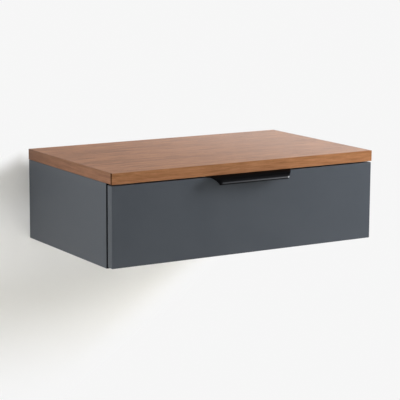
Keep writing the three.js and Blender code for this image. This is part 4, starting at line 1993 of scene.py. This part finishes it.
@dataclass
class Studio:
    """Camera, wall, floor and lights."""

    lens: float = 143.73
    sensor: float = 36.0
    eye: tuple[float, float, float] = (-1.3935, -2.4434, 0.4811)
    yaw: float = math.radians(31.283)
    pitch: float = math.radians(10.224)
    roll: float = math.radians(-0.314)
    dome: float = 0.44
    backdrop: float = 0.925
    paint_tone: Colour = (0.925, 0.916, 0.884)  # of the wall and the floor in the light
    wall_size: float = 9.0
    wall_y: float = 0.3 * MM
    opening: float = 1 * MM  # how far the wall's opening stays inside the nightstand's outline
    floor_z: float = -0.62
    shadow_rise: float = 0.45  # slope of the shadow's upper edge on the wall
    shadow_fall: float = 0.68  # slope of its lower edge
    shadow_step: float = 12 * MM  # how much higher it starts left of the nightstand
    shadow_blur: float = 80 * MM
    shadow_thin: float = 0.2  # how much weaker it is just below the nightstand
    thin_from: tuple[float, float] = (21 * MM, -35 * MM)  # heights between which that begins
    thin_to: tuple[float, float] = (-182 * MM, -98 * MM)  # and between which it ends
    shadow_drop: float = 300 * MM  # how far below the nightstand it has faded
    shadow_reach: float = 1.0  # distance at which it has faded all round
    floor_tint: float = 0.35  # how much of the light and shade on the floor is seen
    lamps: tuple[Lamp, ...] = (
        Lamp("key_lamp", (1.10, -0.72, 0.44), (0, -0.15, 0), 0.30, 0.7, 28.5),
        Lamp("left_lamp", (-1.28, -0.29, 0.05), (0, -0.29, 0.05), 0.3, 0.7, 1.05, math.radians(60)),
        Lamp("top_lamp", (0.15, -0.48, 1.26), (0, -0.15, 0), 0.7, 0.7, 2.2),
        Lamp("rear_lamp", (0.6, 2.2, 0.9), (0, 0, 0), 1.2, 1.2, 27),
    )

    def build(self) -> None:
        """Sets the stage."""
        self.world()
        self.wall()
        self.floor()
        for lamp in self.lamps:
            lamp.build()
        bpy.context.scene.view_settings.view_transform = "Standard"

    def camera(self) -> None:
        """The camera, where the photograph was taken from."""
        bpy.ops.object.camera_add(location=self.eye)
        camera = bpy.context.active_object
        camera.name = "camera"
        camera.data.lens = self.lens
        camera.data.sensor_width = self.sensor
        level = math.cos(self.pitch)
        forward = Vector((math.sin(self.yaw) * level, math.cos(self.yaw) * level, -math.sin(self.pitch)))
        right = Vector((math.cos(self.yaw), -math.sin(self.yaw), 0))
        down = forward.cross(right)
        tilt_right = math.cos(self.roll) * right + math.sin(self.roll) * down
        tilt_down = math.cos(self.roll) * down - math.sin(self.roll) * right
        rotation = Matrix((tilt_right, -tilt_down, -forward)).transposed().to_4x4()
        camera.matrix_world = Matrix.Translation(self.eye) @ rotation
        bpy.context.scene.camera = camera

    def world(self) -> None:
        """An even dome of light, which the camera and gloss see as a white backdrop."""
        world = bpy.data.worlds.new("dome")
        bpy.context.scene.world = world
        world.use_nodes = True
        paint = Paint(world.node_tree)
        background = world.node_tree.nodes["Background"]
        background.inputs["Color"].default_value = (1, 1, 1, 1)
        strength = self.seen(paint) * (self.backdrop - self.dome) + self.dome
        paint.link(strength, background.inputs["Strength"])

    @staticmethod
    def seen(paint: Paint, kinds: Sequence[str] = ("Camera", "Glossy", "Transmission")) -> Value:
        """Tells what the camera sees, itself or through gloss and glass, from light on its way.

        Args:
            paint: The graph that it is used in.
            kinds: The kinds of rays that count as seen.

        Returns:
            1 for these rays and 0 for all others.
        """
        first, *others = (paint.node("LightPath", output=f"Is {kind} Ray") for kind in kinds)
        for other in others:
            first = first.larger(other)
        return first

    def backdrop_paint(
        self, name: str, shade: Callable[[Paint], Value], seen: Callable[[Paint], Value]
    ) -> Material:
        """A pale matt paint that is clear from behind, so that it hides nothing from other sides.

        Args:
            name: The material's name.
            shade: How much of the light on it is seen, from 0, an even backdrop, to 1.
            seen: 1 for the rays that see it so, and 0 for those that see all of the light on it.

        Returns:
            The material.
        """
        material = bpy.data.materials.new(name)
        material.use_nodes = True
        nodes = material.node_tree.nodes
        nodes.remove(nodes["Principled BSDF"])
        paint = Paint(material.node_tree)
        lit = paint.node("BsdfDiffuse", None, {"Color": self.paint_tone})
        even = paint.node("Emission", None, {"Color": (self.backdrop,) * 3})
        front = paint.node("MixShader", None, {0: seen(paint) * (1 - shade(paint)), 1: lit, 2: even})
        behind = paint.node("NewGeometry", output="Backfacing")
        clear = paint.node("BsdfTransparent")
        shown = paint.node("MixShader", None, {0: behind, 1: front, 2: clear})
        paint.link(shown, nodes["Material Output"].inputs["Surface"])
        return material

    def shadow_side(self, paint: Paint) -> Value:
        """The part of the wall, left of the nightstand and below it, where the key lamp's shadow falls.

        Args:
            paint: The graph that it is used in.

        Returns:
            1 where the shadow falls, 0 outside it.
        """
        low, high = (Vector(corner) for corner in cad_bounds)
        x, _, z = paint.parts(paint.point())
        blur, outside = self.shadow_blur, low.x - x
        edge = high.z + outside.between(0, blur / 4) * self.shadow_step
        below_top = z - edge + outside.larger(0.0) * self.shadow_rise
        above_light = z - low.z - (x - high.x) * self.shadow_fall
        near = (x * x + z * z).between(self.shadow_reach**2, (self.shadow_reach / 2) ** 2)
        left = below_top.between(0, -blur / 2) * (high.x - x).between(0, blur)
        deep = z.between(low.z - self.shadow_drop, low.z - self.shadow_drop / 3)
        thin = z.between(*self.thin_from) * z.between(*self.thin_to)
        fall = above_light.between(0, blur)
        return near * left * deep * (1 - thin * self.shadow_thin) * fall

    def floor_shade(self, paint: Paint) -> Value:
        """The part of the floor round the nightstand, where its faint shadow falls."""
        x, y, _ = paint.parts(paint.point())
        return (x * x + y * y).between(self.shadow_reach**2, 0) * self.floor_tint

    def wall(self) -> None:
        """The wall, open where the nightstand's back covers it."""
        piece = add(
            "wall",
            bpy.ops.mesh.primitive_plane_add,
            size=self.wall_size,
            location=(0, self.wall_y, self.floor_z + self.wall_size / 2),
            rotation=(math.radians(90), 0, 0),
        )
        inset = (self.opening, 0, self.opening)
        back = Box(*map(Vector, cad_bounds)).grown([-by for by in inset])
        for axis, normal in ((0, RIGHT), (2, UP)):
            for side in (-1, 1):
                with editing(piece, Pick.FACES):
                    corner = Vector(normal) * back.end(axis, side)
                    bpy.ops.mesh.bisect(plane_co=corner, plane_no=normal)
        centre = Vector((back.middle.x, self.wall_y, back.middle.z))
        with editing(piece, Pick.FACES, lambda middle, normal: (middle - centre).length < NEAR):
            bpy.ops.mesh.delete(type="FACE")
        piece.data.materials.append(self.backdrop_paint("wall_paint", self.shadow_side, self.seen))

    def floor(self) -> None:
        """The floor, below the camera's view."""
        place = (0, -self.wall_size / 2, self.floor_z)
        piece = add("floor", bpy.ops.mesh.primitive_plane_add, size=self.wall_size, location=place)
        seen = partial(self.seen, kinds=["Camera"])
        piece.data.materials.append(self.backdrop_paint("floor_paint", self.floor_shade, seen))


def main() -> None:
    """Builds the nightstand and its stage in order."""
    logging.basicConfig(level=logging.INFO, format="%(name)s: %(message)s", force=True)
    studio = Studio()
    studio.camera()
    Top().build()
    Carcass().build()
    WallHanging().build()
    for label, side in SIDES:
        Runner(label, side).build()
    Drawer().build()
    EdgePull().build()
    for fixing in (LONG_SCREW, SHORT_SCREW, DOWEL):
        bpy.data.objects.remove(fixing.pattern)
    studio.build()


if __name__ == "__main__":
    main()
